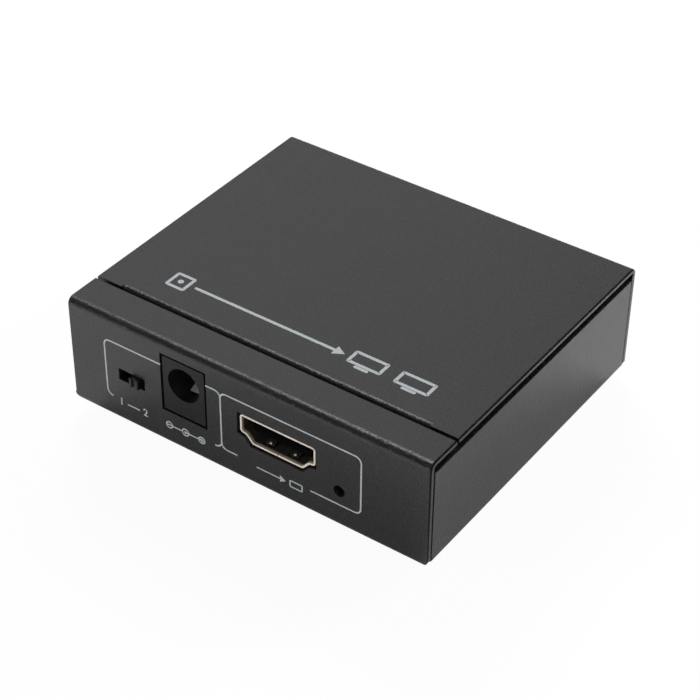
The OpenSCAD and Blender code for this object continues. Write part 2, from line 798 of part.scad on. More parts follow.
// Input socket at the front, output sockets at the back
module input_socket_shell() at_input() socket_shell();
module input_socket_insulator() at_input() socket_insulator();
module input_socket_contacts() at_input() socket_contacts();
module output_1_socket_shell() at_output(1) socket_shell();
module output_1_socket_insulator() at_output(1) socket_insulator();
module output_1_socket_contacts() at_output(1) socket_contacts();
module output_2_socket_shell() at_output(-1) socket_shell();
module output_2_socket_insulator() at_output(-1) socket_insulator();
module output_2_socket_contacts() at_output(-1) socket_contacts();

// Moulded jack: square face, round barrel behind it, bore, and an open bottom for the springs
module jack_housing() color(dark_plastic) at_jack() difference() {
    union() {
        block(jack_w, 0, jack_flange_l, 0, jack_h);
        translate([0, 0, jack_bore_z]) bar_y(2 * barrel_r, jack_flange_l, tab_y - jack_flange_l);
        block(2 * barrel_r, jack_flange_l, jack_l - jack_flange_l, 0, jack_bore_z);
    }
    translate([0, 0, jack_bore_z]) {
        bar_y(jack_bore_d, -cut, jack_bore_l + cut);
        bar_y(jack_pin_d + 2 * seat_clear, jack_bore_l - cut, jack_l);
    }
    block(sleeve_w + 2 * sleeve_side_clear, sleeve_front - sleeve_room,
          sleeve_tail_y - sleeve_front + 2 * sleeve_room, -cut, jack_bore_z);
    block(2 * (barrel_r - barrel_wall), tab_y, jack_l, -cut, jack_h);
    translate([break_x, 0, 0])
        block(break_slot_w, break_y - break_room, break_l + 2 * break_room,
              -cut, bore_floor + cut - break_room);
}

// Centre pin with a rounded tip, riveted through the back wall
module jack_center_pin() color(steel) at_jack() translate([0, 0, jack_bore_z]) {
    tip = jack_pin_setback + jack_pin_d / 2;
    bar_y(jack_pin_d, tip, tab_y + tab_t + pin_tail - tip);
    translate([0, tip, 0]) sphere(d = jack_pin_d);
}

// Solder tab on the tail of the centre pin: a head round the pin and a leg through the board
module jack_pin_tab() color(steel) at_jack() difference() {
    head = jack_pin_d + 2 * tab_rim;
    union() {
        block(head, tab_y, tab_t, jack_bore_z - head / 2, head);
        block(tab_w, tab_y, tab_t, -board_t - leg_tail,
              jack_bore_z - head / 2 + tab_rim + board_t + leg_tail);
    }
    translate([0, 0, jack_bore_z]) bar_y(jack_pin_d + 2 * seat_clear, tab_y - cut, tab_t + 2 * cut);
}

// Sleeve spring: rises into the bore from its tail under the barrel
module jack_sleeve_spring() color(steel) at_jack() along_x(sleeve_w)
    polygon(strip([[sleeve_tail_y, -board_t - leg_tail], [sleeve_tail_y, bore_floor - sleeve_heel],
                   [sleeve_peak_y, bore_floor + sleeve_rise], [sleeve_front, bore_floor - sleeve_dip]],
                  sleeve_t));

// Fixed contact beside the sleeve spring
module jack_break_contact() color(steel) at_jack() translate([break_x, 0, 0])
    block(break_t, break_y, break_l, -board_t - leg_tail, board_t + leg_tail + bore_floor - break_drop);

// Folded frame of the switch: front with the lever slot, four sides and two legs
module switch_frame() color(steel) at_switch() {
    room = 2 * frame_slot_room;
    difference() {
        block(switch_w, 0, switch_l, switch_lift, switch_h);
        block(switch_w - 2 * frame_t, frame_t, switch_l, switch_lift + frame_t, switch_h - 2 * frame_t);
        block(2 * slot_half + room, -cut, frame_t + 2 * cut, lever_z - (slot_h + room) / 2, slot_h + room);
    }
    for (side = [-1, 1]) translate([side * (switch_w - frame_t) / 2, 0, 0])
        block(frame_t, switch_leg_y, switch_leg_w, -board_t - leg_tail,
              board_t + leg_tail + switch_lift + switch_leg_root);
}

// Base that closes the back of the switch and carries its terminals
module switch_base() color(dark_plastic) at_switch() difference() {
    fit = 2 * (frame_t + insulator_fit);
    block(switch_w - fit, switch_l - switch_base_t, switch_base_t, switch_lift + fit / 2, switch_h - fit);
    for (i = [-1:1]) translate([i * terminal_pitch, 0, 0])
        block(terminal_w + 2 * seat_clear, switch_l - switch_base_t - cut, switch_base_t + 2 * cut,
              lever_z - terminal_t / 2 - seat_clear, terminal_t + 2 * seat_clear);
}

// Three terminals: contact head, stem through the base and leg down to the board
module switch_terminals() color(contact_gold) at_switch()
    for (i = [-1:1]) translate([i * terminal_pitch, 0, 0]) {
        head_y = switch_l - switch_base_t - head_t;
        block(head_w, head_y, head_t, lever_z - head_h / 2, head_h);
        along_x(terminal_w) polygon(strip([[head_y, lever_z], [terminal_y, lever_z],
                                           [terminal_y, -board_t - leg_tail]], terminal_t));
    }

// Places what the slider carries, at the right-hand end of its travel
module at_slider() at_switch() translate([lever_travel / 2, 0, lever_z]) children();

// Slider: body that runs in the frame, and lever with a finger groove
module switch_slider() color(dark_plastic) at_slider() difference() {
    union() {
        block(2 * slider_half, slider_front, slider_back - slider_front, -slider_half_h, 2 * slider_half_h);
        block(lever_w, lever_tip, slider_front - lever_tip + lever_root, -lever_h / 2, lever_h);
    }
    block(wiper_w + 2 * insulator_fit, slider_back - wiper_pocket, wiper_pocket + cut, -head_h / 2, head_h);
    block(lever_groove_w, lever_tip - cut, lever_groove_d + cut, -lever_h, 2 * lever_h);
}

// Bridging spring in the back of the slider, which joins two neighbouring terminals
module switch_wiper() color(contact_gold) at_slider() {
    half = wiper_w / 2;
    peak = half * wiper_peak_share;
    flat = half * wiper_flat_share;
    seat = slider_back - wiper_pocket + wiper_t / 2;
    rise = slider_back + wiper_reach;
    translate([0, 0, wiper_edge - head_h / 2]) linear_extrude(head_h - 2 * wiper_edge)
        polygon(strip([[-half, seat + wiper_end], [-peak, rise], [-flat, seat], [flat, seat], [peak, rise],
                       [half, seat + wiper_end]], wiper_t));
}

// Side-looking light on the front edge of the board
module power_light() color("ivory") on_board(light_x, board_front + light_setback)
    block(light_w, 0, light_l, 0, light_h);

// Domed window of the light
module power_light_lens() color("lightgoldenrodyellow") on_board(light_x, board_front + light_setback)
    translate([0, 0, light_h / 2]) intersection() {
        sphere(lens_r);
        block(light_w, -light_l, light_l, -light_h, 2 * light_h);
    }

// Row of gull-wing leads along the +Y side of a package
module leads(count, pitch, w, body, foot = lead_foot) {
    toe = body + lead_shoulder + lead_slope;
    for (i = [0:count - 1]) translate([(i - (count - 1) / 2) * pitch, 0, 0])
        along_x(w) polygon(strip([[body - lead_root, lead_z], [body + lead_shoulder, lead_z],
                                  [toe, lead_t / 2], [toe + foot, lead_t / 2]], lead_t));
}

// Moulded package with a chamfered pin-one corner
module package(w, l, h = package_h) translate([0, 0, chip_lift]) linear_extrude(h)
    polygon([[pin_one_cut - w / 2, -l / 2], [w / 2, -l / 2], [w / 2, l / 2], [-w / 2, l / 2],
             [-w / 2, pin_one_cut - l / 2]]);

// Splitter chip with leads on four sides
module splitter_chip() color(package_black) on_board(chip_x, chip_y) {
    package(chip_w, chip_w);
    for (turn = [0:90:270]) rotate(turn) leads(chip_leads, chip_pitch, chip_lead_w, chip_w / 2);
}

// Two memory chips with leads on two sides
module memory_chips() color(package_black) for (side = [-1, 1])
    on_board(chip_x + side * memory_offset, memory_y) {
        package(memory_w, memory_l);
        for (turn = [0, 180]) rotate(turn) leads(memory_leads, memory_pitch, memory_lead_w, memory_l / 2);
    }

// Voltage regulator with three leads and a cooling tab
module regulator_chip() color(package_black) on_board(regulator_x, regulator_y) {
    package(regulator_w, regulator_l);
    leads(3, regulator_pitch, regulator_lead_w, regulator_l / 2, regulator_lead_l);
    rotate(180) leads(1, 0, regulator_tab_w, regulator_l / 2, regulator_lead_l);
}

// Shielded inductor: square ferrite ring with a round drum in it
module power_inductor() color(ferrite_grey) on_board(inductor_x, supply_y) {
    ring_d = inductor_w - 2 * inductor_wall;
    difference() {
        linear_extrude(inductor_h) polygon(rounded_rectangle(inductor_w, inductor_w, inductor_corner_r, 2));
        translate([0, 0, inductor_h - inductor_gap_d]) cylinder(d = ring_d, h = inductor_gap_d + cut);
    }
    cylinder(d = ring_d - 2 * inductor_gap, h = inductor_h - drum_drop);
}

// Outline with two round ends
module stadium(l, w) {
    square([l - w, w], center = true);
    for (side = [-1, 1]) translate([side * (l - w) / 2, 0]) circle(d = w);
}

// Crystal in a low metal can with a flange
module clock_crystal() color(steel) on_board(crystal_x, supply_y) {
    linear_extrude(crystal_flange_h) stadium(crystal_l + 2 * crystal_flange, crystal_w + 2 * crystal_flange);
    linear_extrude(crystal_h) stadium(crystal_l, crystal_w);
}

// Places of the two reservoir capacitors
module at_capacitors()
    for (i = [0, 1]) on_board(capacitor_x + i * capacitor_pitch, supply_y) children();

// Aluminium cans with a rolled groove above the base
module capacitor_cans() color(steel) at_capacitors() rotate_extrude() {
    r = capacitor_d / 2;
    polygon([[0, can_z], [r, can_z], [r, can_groove_z - can_groove_d], [r - can_groove_d, can_groove_z],
             [r, can_groove_z + can_groove_d], [r, capacitor_h - can_edge], [r - can_edge, capacitor_h],
             [0, capacitor_h]]);
}

// Moulded seats of the cans, with two corners cut off
module capacitor_bases() color(package_black) at_capacitors() linear_extrude(capacitor_base_h) {
    half = capacitor_base_w / 2;
    inner = half - capacitor_base_cut;
    polygon([[-half, -half], [inner, -half], [half, -inner], [half, inner], [inner, half], [-half, half]]);
}

// Row of small two-ended parts along X
module chip_row(count, pitch, size) for (i = [0:count - 1])
    translate([(i - (count - 1) / 2) * pitch, 0, 0]) block(size[0], -size[1] / 2, size[1], 0, size[2]);

// Decoupling capacitors in two rows beside the splitter chip
module ceramic_capacitors() color(ceramic_tan) for (side = [-1, 1])
    on_board(chip_x, chip_y + side * ceramic_offset) chip_row(ceramic_count, ceramic_pitch, ceramic_size);

// Line resistors behind each socket
module resistors() color(package_black) {
    at_input() translate([0, resistor_y, 0]) chip_row(resistor_count, resistor_pitch, resistor_size);
    for (side = [-1, 1])
        at_output(side) translate([0, resistor_y, 0]) chip_row(resistor_count, resistor_pitch, resistor_size);
}

// Diode beside the power jack
module input_diode() color(package_black) on_board(diode_x, diode_y) {
    package(diode_w, diode_l, diode_h);
    for (turn = [-90, 90]) rotate(turn) leads(1, 0, diode_lead_w, diode_w / 2);
}

// Surge protection arrays between each output socket and its resistors
module surge_arrays() color(package_black) for (side = [-1, 1])
    at_output(side) translate([0, surge_y, 0]) chip_row(2, surge_pitch, surge_size);

base_tray();
top_cover();
cover_screws();
rubber_feet();
circuit_board();
board_standoffs();
board_screws();
input_socket_shell();
input_socket_insulator();
input_socket_contacts();
output_1_socket_shell();
output_1_socket_insulator();
output_1_socket_contacts();
output_2_socket_shell();
output_2_socket_insulator();
output_2_socket_contacts();
jack_housing();
jack_center_pin();
jack_pin_tab();
jack_sleeve_spring();
jack_break_contact();
switch_frame();
switch_base();
switch_terminals();
switch_slider();
switch_wiper();
power_light();
power_light_lens();
splitter_chip();
memory_chips();
regulator_chip();
power_inductor();
clock_crystal();
capacitor_cans();
capacitor_bases();
ceramic_capacitors();
resistors();
input_diode();
surge_arrays();
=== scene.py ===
"""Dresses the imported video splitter: coated sheet case, printed marks, sockets, jack, switch and board."""
import logging
import math
from contextlib import contextmanager
from dataclasses import dataclass, field
from enum import Enum
from typing import Callable, Iterator, Union

import bpy
from mathutils import Matrix, Vector


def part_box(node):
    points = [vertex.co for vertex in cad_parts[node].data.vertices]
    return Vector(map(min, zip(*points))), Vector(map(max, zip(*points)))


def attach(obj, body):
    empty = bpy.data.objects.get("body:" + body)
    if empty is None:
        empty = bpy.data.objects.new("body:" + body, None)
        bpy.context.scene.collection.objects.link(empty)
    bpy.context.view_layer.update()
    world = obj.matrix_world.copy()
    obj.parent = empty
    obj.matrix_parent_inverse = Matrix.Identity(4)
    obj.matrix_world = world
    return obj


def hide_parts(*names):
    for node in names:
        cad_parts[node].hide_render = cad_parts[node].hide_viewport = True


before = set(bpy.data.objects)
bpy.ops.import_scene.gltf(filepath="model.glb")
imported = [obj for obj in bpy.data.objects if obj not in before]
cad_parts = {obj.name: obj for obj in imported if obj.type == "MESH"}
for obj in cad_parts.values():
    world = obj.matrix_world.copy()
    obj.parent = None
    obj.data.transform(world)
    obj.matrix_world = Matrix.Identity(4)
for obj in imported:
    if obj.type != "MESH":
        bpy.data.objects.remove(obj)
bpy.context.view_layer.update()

log = logging.getLogger("splitter")

MM = 0.001
WELD_GAP = 0.002 * MM
TOUCH_GAP = 0.01 * MM
FLAT_ANGLE = math.radians(0.5)
SMOOTH_ANGLE = math.radians(35)
SHARP_ANGLE = math.radians(40)

Colour = tuple[float, float, float]
Triple = tuple[float, float, float]
Point = tuple[float, float]
EdgeWeight = Callable[[Vector, Vector], float]

EVEN: Triple = (1.0, 1.0, 1.0)
WHITE: Colour = (1.0, 1.0, 1.0)


class Body(Enum):
    """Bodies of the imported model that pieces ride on."""

    CASE = "case"
    SLIDER = "slider"


class Panel(Enum):
    """Faces of the case that carry print."""

    FRONT = "front"
    LID = "lid"


class Reach(Enum):
    """What a lamp's light reaches: matt surfaces, and surfaces that mirror it."""

    ALL = (True, True)
    MATT = (True, False)
    MIRROR = (False, True)


class Value:
    """A shader output that takes part in Python arithmetic."""

    def __init__(self, tree: "ShaderTree", socket: bpy.types.NodeSocket) -> None:
        """Wraps one output socket of a tree."""
        self.tree = tree
        self.socket = socket

    def _math(self, operation: str, first: "Number", second: "Number") -> "Value":
        """Adds one Math node.

        Args:
            operation: The Math node's operation.
            first: Value or number on its first socket.
            second: Value or number on its second socket.

        Returns:
            The node's output.
        """
        return self.tree.add("ShaderNodeMath", {"operation": operation}, {0: first, 1: second})

    def __add__(self, other: "Number") -> "Value":
        """Adds a value or a number."""
        return self._math("ADD", self, other)

    def __sub__(self, other: "Number") -> "Value":
        """Takes a value or a number away."""
        return self._math("SUBTRACT", self, other)

    def __rsub__(self, other: "Number") -> "Value":
        """Takes this value away from a number."""
        return self._math("SUBTRACT", other, self)

    def __mul__(self, other: "Number") -> "Value":
        """Multiplies by a value or a number."""
        return self._math("MULTIPLY", self, other)

    def __gt__(self, other: "Number") -> "Value":
        """Gives 1 where this value is the greater one, and 0 elsewhere."""
        return self._math("GREATER_THAN", self, other)

    def __lt__(self, other: "Number") -> "Value":
        """Gives 1 where this value is the smaller one, and 0 elsewhere."""
        return self._math("LESS_THAN", self, other)

    def most(self, other: "Number") -> "Value":
        """Gives the greater of this value and another."""
        return self._math("MAXIMUM", self, other)

    def least(self, other: "Number") -> "Value":
        """Gives the smaller of this value and another."""
        return self._math("MINIMUM", self, other)

    def size(self) -> "Value":
        """Gives this value without its sign."""
        return self._math("ABSOLUTE", self, 0.0)

    def beat(self, period: float) -> "Value":
        """Gives the place within a repeat of the given length, from 0 to 1."""
        return self._math("FRACT", self * (1 / period), 0.0)

    __radd__ = __add__
    __rmul__ = __mul__


Number = Union[Value, float]


class ShaderTree:
    """Node tree of one material or of the world, with one way to add any node."""

    def __init__(self, tree: bpy.types.NodeTree) -> None:
        """Empties the tree and keeps it."""
        self.tree = tree
        self.tree.nodes.clear()

    def add(self, kind: str, settings: dict[str, object], inputs: dict[object, object],
            output: object = 0) -> Value:
        """Adds one node.

        Args:
            kind: The node's type.
            settings: Its properties, set first; stops are a colour ramp's (place, grey) pairs.
            inputs: Numbers, colours or values for its input sockets, by name or index.
            output: Name or index of the output to hand back.

        Returns:
            The chosen output.
        """
        node = self.tree.nodes.new(kind)
        for name, setting in settings.items():
            if name == "stops":
                self._set_stops(node.color_ramp, setting)
            else:
                setattr(node, name, setting)
        for key, item in inputs.items():
            if isinstance(item, Value):
                self.tree.links.new(item.socket, node.inputs[key])
            else:
                node.inputs[key].default_value = item
        return Value(self, node.outputs[output])

    @staticmethod
    def _set_stops(ramp: bpy.types.ColorRamp, stops: list[Point]) -> None:
        """Sets the two ends of a colour ramp as grey levels.

        Args:
            ramp: The colour ramp.
            stops: Place and grey level of each end.
        """
        for element, (place, grey) in zip(ramp.elements, stops):
            element.position = place
            element.color = (grey, grey, grey, 1.0)

    def coords(self, stretch: Triple = EVEN) -> Value:
        """Gives the object's own coordinates in metres, stretched along its axes."""
        place = self.add("ShaderNodeTexCoord", {}, {}, "Object")
        return self.add("ShaderNodeMapping", {}, {"Vector": place, "Scale": stretch})

    def axis(self, name: str) -> Value:
        """Gives one of the object's own coordinates in metres."""
        place = self.add("ShaderNodeTexCoord", {}, {}, "Object")
        return self.add("ShaderNodeSeparateXYZ", {}, {0: place}, name)

    def noise(self, size: float, detail: float = 2.0, stretch: Triple = EVEN) -> Value:
        """Gives soft noise about 0.5.

        Args:
            size: Size of its largest features in metres.
            detail: Number of finer layers.
            stretch: How much denser it runs along each axis.

        Returns:
            The noise value.
        """
        inputs = {"Vector": self.coords(stretch), "Scale": 1 / size, "Detail": detail, "Roughness": 0.6}
        return self.add("ShaderNodeTexNoise", {}, inputs)

    def ramp(self, value: Value, start: float, end: float) -> Value:
        """Gives 0 up to start and 1 from end on."""
        return self.add("ShaderNodeValToRGB", {"stops": [(start, 0.0), (end, 1.0)]}, {0: value})

    def mix(self, share: Number, first: object, second: object) -> Value:
        """Mixes two colours; a share of 1 gives the second."""
        inputs = {0: share, 6: rgba(first), 7: rgba(second)}
        return self.add("ShaderNodeMix", {"data_type": "RGBA"}, inputs, 2)

    def bump(self, height: Value, depth: float) -> Value:
        """Turns a height of 0 to 1 into a normal, for a relief of the given depth in metres."""
        return self.add("ShaderNodeBump", {}, {"Height": height, "Distance": depth, "Strength": 1.0})

    def surface(self, inputs: dict[object, object]) -> None:
        """Ends the tree with a Principled shader that has the given inputs."""
        self.output(self.add("ShaderNodeBsdfPrincipled", {}, inputs))

    def output(self, shader: Value, kind: str = "ShaderNodeOutputMaterial") -> None:
        """Ends the tree with a shader on an output node."""
        node = self.tree.nodes.new(kind)
        self.tree.links.new(shader.socket, node.inputs["Surface"])


def rgba(colour: object) -> object:
    """Gives a colour its alpha, and leaves a shader value as it is."""
    return colour if isinstance(colour, Value) else (*colour, 1.0)


def shade(colour: Colour, level: float) -> Colour:
    """Gives a colour made lighter or darker by a factor."""
    return (colour[0] * level, colour[1] * level, colour[2] * level)


@dataclass(frozen=True)
class Finish:
    """Surface of the pieces that take one of the record's material slots.

    Attributes:
        slot: The record's slot, or a name of its own for a finish that the record doesn't have.
        colour: Base colour, linear.
        roughness: Middle of its roughness.
        part: What it covers, where a slot has more than one finish.
    """

    slot: str
    colour: Colour
    roughness: float
    part: str = ""

    def name(self) -> str:
        """Gives the material's name."""
        return "_".join(word for word in (self.slot, self.part, "finish") if word)

    def material(self) -> bpy.types.Material:
        """Makes the material on its first use.

        Returns:
            The material.
        """
        material = bpy.data.materials.get(self.name())
        if material is None:
            material = bpy.data.materials.new(self.name())
            material.use_nodes = True
            self.paint(ShaderTree(material.node_tree))
        return material

    def uneven(self, *patterns: tuple[Value, float]) -> Value:
        """Gives the roughness, changed by patterns about 0.5, each with its spread."""
        return sum(((pattern - 0.5) * spread for pattern, spread in patterns), self.roughness)

    def paint(self, tree: ShaderTree) -> None:
        """Builds the shader.

        Args:
            tree: The material's empty tree.
        """
        raise NotImplementedError


@dataclass(frozen=True)
class PowderCoat(Finish):
    """Fine-textured satin powder coat; its version for rounded edges has less relief, as a thinner coat does,
    and a mirror turned nearly off, which paints dark lines of shade along them.

    Attributes:
        grain: Size of its pimples.
        relief: Height of its pimples.
        cloud: Size of its slow clouds.
        cloud_share: Share of the clouds in its specks.
        specks: Levels of the pattern where dark ends and where light starts.
        contrast: How far dark and light lie from the colour.
        spread: How far pimples and clouds change the roughness.
        gloss: Strength of its mirror.
    """

    grain: float = 0.42 * MM
    relief: float = 0.08 * MM
    cloud: float = 16 * MM
    cloud_share: float = 0.15
    specks: Point = (0.38, 0.62)
    contrast: float = 0.85
    spread: Point = (0.25, 0.1)
    gloss: float = 0.72

    def paint(self, tree: ShaderTree) -> None:
        """Builds the coat from fine pimples and slow clouds.

        Args:
            tree: The material's empty tree.
        """
        pimples = tree.noise(self.grain, 3.0)
        clouds = tree.noise(self.cloud, 2.0)
        light = tree.ramp(pimples * (1 - self.cloud_share) + clouds * self.cloud_share, *self.specks)
        colour = tree.mix(light, shade(self.colour, 1 - self.contrast), shade(self.colour, 1 + self.contrast))
        tree.surface({
            "Base Color": colour,
            "Roughness": self.uneven((pimples, self.spread[0]), (clouds, self.spread[1])),
            "Specular IOR Level": self.gloss,
            "Normal": tree.bump(pimples, self.relief),
        })


@dataclass(frozen=True)
class PrintInk(Finish):
    """Screen-printed ink with the coat's texture showing through.

    Attributes:
        grain: Size of the coat's pimples under it.
        relief: Height of those pimples.
        thin: Levels of the pimples between which the ink gets thin.
        worn: Share of the colour where it is thin.
        spread: How far the pimples change the roughness.
    """

    grain: float = 0.34 * MM
    relief: float = 0.012 * MM
    thin: Point = (0.55, 0.8)
    worn: float = 0.72
    spread: float = 0.2

    def paint(self, tree: ShaderTree) -> None:
        """Builds the ink, a little thin on the pimples of the coat.

        Args:
            tree: The material's empty tree.
        """
        pimples = tree.noise(self.grain, 3.0)
        thin = tree.ramp(pimples, *self.thin)
        tree.surface({
            "Base Color": tree.mix(thin, self.colour, shade(self.colour, self.worn)),
            "Roughness": self.uneven((pimples, self.spread)),
            "Normal": tree.bump(pimples, self.relief),
        })


@dataclass(frozen=True)
class Moulded(Finish):
    """Moulded plastic or rubber, with spark-eroded grain and a faint bloom.

    Attributes:
        grain: Size of its grain.
        relief: Height of its grain.
        patch: Size of the patches of bloom.
        patch_share: Share of the patches in the bloom, where the grain is the rest.
        dusty: Levels of the pattern between which the bloom comes up.
        bloom: How far the bloom changes the colour.
        spread: How far grain and patches change the roughness.
        gloss: Strength of its mirror.
    """

    grain: float = 0.2 * MM
    relief: float = 0.008 * MM
    patch: float = 2.5 * MM
    patch_share: float = 0.6
    dusty: Point = (0.35, 0.75)
    bloom: float = 0.25
    spread: Point = (0.2, 0.1)
    gloss: float = 0.5

    def paint(self, tree: ShaderTree) -> None:
        """Builds the grain, the bloom and the relief.

        Args:
            tree: The material's empty tree.
        """
        grain = tree.noise(self.grain, 2.0)
        patches = tree.noise(self.patch, 3.0)
        dusty = tree.ramp(patches * self.patch_share + grain * (1 - self.patch_share), *self.dusty)
        colour = tree.mix(dusty, shade(self.colour, 1 - self.bloom), shade(self.colour, 1 + self.bloom))
        tree.surface({
            "Base Color": colour,
            "Roughness": self.uneven((grain, self.spread[0]), (patches, self.spread[1])),
            "Specular IOR Level": self.gloss,
            "Normal": tree.bump(grain, self.relief),
        })


@dataclass(frozen=True)
class RolledMetal(Finish):
    """Plated or bare sheet metal with rolling marks and dull spots.

    Attributes:
        marks: Width of its rolling marks.
        relief: Depth of its rolling marks.
        stretch: How much denser the marks run along each axis.
        spot: Size of its dull spots.
        spotted: Levels of the pattern between which a spot comes up.
        dull: How much darker a spot is.
        spread: How far marks and spots change the roughness.
        bare: Share of bare metal in its surface.
    """

    marks: float = 0.05 * MM
    relief: float = 0.0015 * MM
    stretch: Triple = (0.05, 1.0, 1.0)
    spot: float = 1.2 * MM
    spotted: Point = (0.5, 0.75)
    dull: float = 0.2
    spread: Point = (0.15, 0.12)
    bare: float = 1.0

    def tone(self, tree: ShaderTree, spots: Value) -> Value:
        """Gives the metal's colour, darker on its dull spots."""
        return tree.mix(spots, self.colour, shade(self.colour, 1 - self.dull))

    def paint(self, tree: ShaderTree) -> None:
        """Builds the rolling marks along X and the dull spots.

        Args:
            tree: The material's empty tree.
        """
        lines = tree.noise(self.marks, 2.0, self.stretch)
        spots = tree.ramp(tree.noise(self.spot, 3.0), *self.spotted)
        tree.surface({
            "Base Color": self.tone(tree, spots),
            "Metallic": self.bare,
            "Roughness": self.uneven((lines, self.spread[0])) + spots * self.spread[1],
            "Normal": tree.bump(lines, self.relief),
        })


@dataclass(frozen=True)
class PlatingWithPaintedMouthShade(RolledMetal):
    """Bright plating on a socket's shell, with painted shade that darkens it inside the mouth.

    Attributes:
        rim: Distances from the middle of the case where the painted shade is full and where it ends.
        inside: Share of the colour that is left under the painted shade inside the mouth.
    """

    rim: Point = (30.1 * MM, 30.6 * MM)
    inside: float = 0.06

    def tone(self, tree: ShaderTree, spots: Value) -> Value:
        """Gives the metal's colour, with painted shade that darkens it from the rim inwards.

        Args:
            tree: The material's tree.
            spots: Where its dull spots are.

        Returns:
            The colour.
        """
        # painted shade: the plating fades to dark inside the mouth, standing in for the shade within the
        # shell
        depth = tree.axis("Y").size()
        bright = (depth - self.rim[0]) * (1 / (self.rim[1] - self.rim[0]))
        dark = shade(self.colour, self.inside)
        return tree.mix(bright.most(0.0).least(1.0), dark, super().tone(tree, spots))


@dataclass(frozen=True)
class SolderMask(Finish):
    """Solder mask over copper tracks, with tinned vias.

    Attributes:
        track_pitch: Distance between tracks.
        track_gap: Share of the pitch without copper.
        sway: How far a track leaves its line, and over what length.
        zone: Size of the zones whose tracks run one way.
        pour: Size of the plain copper fields.
        pour_level: Level of the pattern where plain copper starts.
        via_pitch: Distance between vias.
        via_radius: Radius of a via, as a share of the pitch.
        tin: Colour of a via.
        tin_bare: Share of bare metal in a via.
        tones: Shares of the colour beside copper and over it.
        grain: Size of the mask's grain.
        spread: How far the grain changes the roughness.
        relief: Height of the copper.
    """

    track_pitch: float = 0.9 * MM
    track_gap: float = 0.55
    sway: Point = (4 * MM, 7 * MM)
    zone: float = 11 * MM
    pour: float = 14 * MM
    pour_level: float = 0.56
    via_pitch: float = 3.1 * MM
    via_radius: float = 0.1
    tin: Colour = (0.55, 0.56, 0.55)
    tin_bare: float = 0.9
    tones: Point = (0.7, 1.35)
    grain: float = 0.3 * MM
    spread: float = 0.1
    relief: float = 0.03 * MM

    def paint(self, tree: ShaderTree) -> None:
        """Builds tracks in two directions, patches of plain copper and a spread of vias.

        Args:
            tree: The material's empty tree.
        """
        sway = tree.noise(self.sway[1], 0.0) * self.sway[0]
        along, across = ((tree.axis(axis) + sway).beat(self.track_pitch) > self.track_gap for axis in "XY")
        turned = tree.noise(self.zone, 0.0) > 0.5
        tracks = turned * along + (1 - turned) * across
        copper = tracks.most(tree.noise(self.pour, 0.0) > self.pour_level)
        cells = {"Vector": tree.coords(), "Scale": 1 / self.via_pitch, "Randomness": 0.8}
        via = tree.add("ShaderNodeTexVoronoi", {"voronoi_dimensions": "2D"}, cells) < self.via_radius
        mask = tree.mix(copper, *(shade(self.colour, tone) for tone in self.tones))
        tree.surface({
            "Base Color": tree.mix(via, mask, self.tin),
            "Metallic": via * self.tin_bare,
            "Roughness": self.uneven((tree.noise(self.grain), self.spread)),
            "Normal": tree.bump(copper.most(via), self.relief),
        })


@dataclass(frozen=True)
class ClearResin(Finish):
    """Clear cast resin of the light's window.

    Attributes:
        flow: Size of its flow marks.
        deep: Share of the colour in a flow mark.
        spread: How far flow marks add to the roughness.
        clear: Share of the light that passes.
        index: Refractive index.
    """

    flow: float = 0.3 * MM
    deep: float = 0.9
    spread: float = 0.1
    clear: float = 0.8
    index: float = 1.5

    def paint(self, tree: ShaderTree) -> None:
        """Builds the resin with faint flow marks.

        Args:
            tree: The material's empty tree.
        """
        flow = tree.noise(self.flow, 2.0)
        tree.surface({
            "Base Color": tree.mix(flow, self.colour, shade(self.colour, self.deep)),
            "Roughness": self.roughness + flow * self.spread,
            "Transmission Weight": self.clear,
            "IOR": self.index,
        })


COAT_COLOUR = (0.0080, 0.0080, 0.0083)
COAT = PowderCoat("case_coat", COAT_COLOUR, 0.33)
# painted shade: the rounded edges' mirror is nearly off, so they show dark lines of shade; their lower relief
# stands for the real thinner coat
SHADED_EDGE_COAT = PowderCoat("case_coat", COAT_COLOUR, 0.30, "edge", relief=0.02 * MM, gloss=0.08)
INK = PrintInk("print_ink", (0.37, 0.40, 0.415), 0.55)
TIN = RolledMetal("plain_steel", (0.62, 0.60, 0.56), 0.45, "tin", bare=0.25)
BRIGHT_PLATING = RolledMetal("socket_metal", (0.95, 0.86, 0.76), 0.35, "bright")
FINISHES: dict[str, Finish] = {finish.slot: finish for finish in (
    COAT,
    Moulded("foot_rubber", (0.022, 0.022, 0.023), 0.85, grain=0.4 * MM, relief=0.03 * MM),
    SolderMask("board_black", (0.012, 0.012, 0.013), 0.34),
    RolledMetal("black_steel", (0.045, 0.045, 0.048), 0.42, dull=0.35),
    RolledMetal("plain_steel", (0.58, 0.58, 0.59), 0.30),
    # painted shade: this plating is darkened inside each socket's mouth
    PlatingWithPaintedMouthShade("socket_metal", (0.96, 0.84, 0.73), 0.30, bare=0.45),
    Moulded("socket_plastic", (0.0025, 0.0025, 0.0025), 0.6, gloss=0.015),
    RolledMetal("contact_gold", (0.83, 0.62, 0.28), 0.22),
    Moulded("jack_plastic", (0.009, 0.009, 0.0093), 0.42, gloss=0.3),
    Moulded("switch_plastic", (0.009, 0.009, 0.0095), 0.42, gloss=0.4),
    Moulded("light_white", (0.80, 0.79, 0.75), 0.4, bloom=0.06),
    ClearResin("light_lens", (0.85, 0.80, 0.60), 0.08),
    Moulded("chip_black", (0.028, 0.028, 0.03), 0.55),
    Moulded("ferrite", (0.07, 0.07, 0.075), 0.6, grain=0.3 * MM, bloom=0.35),
    RolledMetal("can_metal", (0.72, 0.72, 0.74), 0.28),
    Moulded("ceramic_tan", (0.40, 0.28, 0.18), 0.45, bloom=0.15),
)}


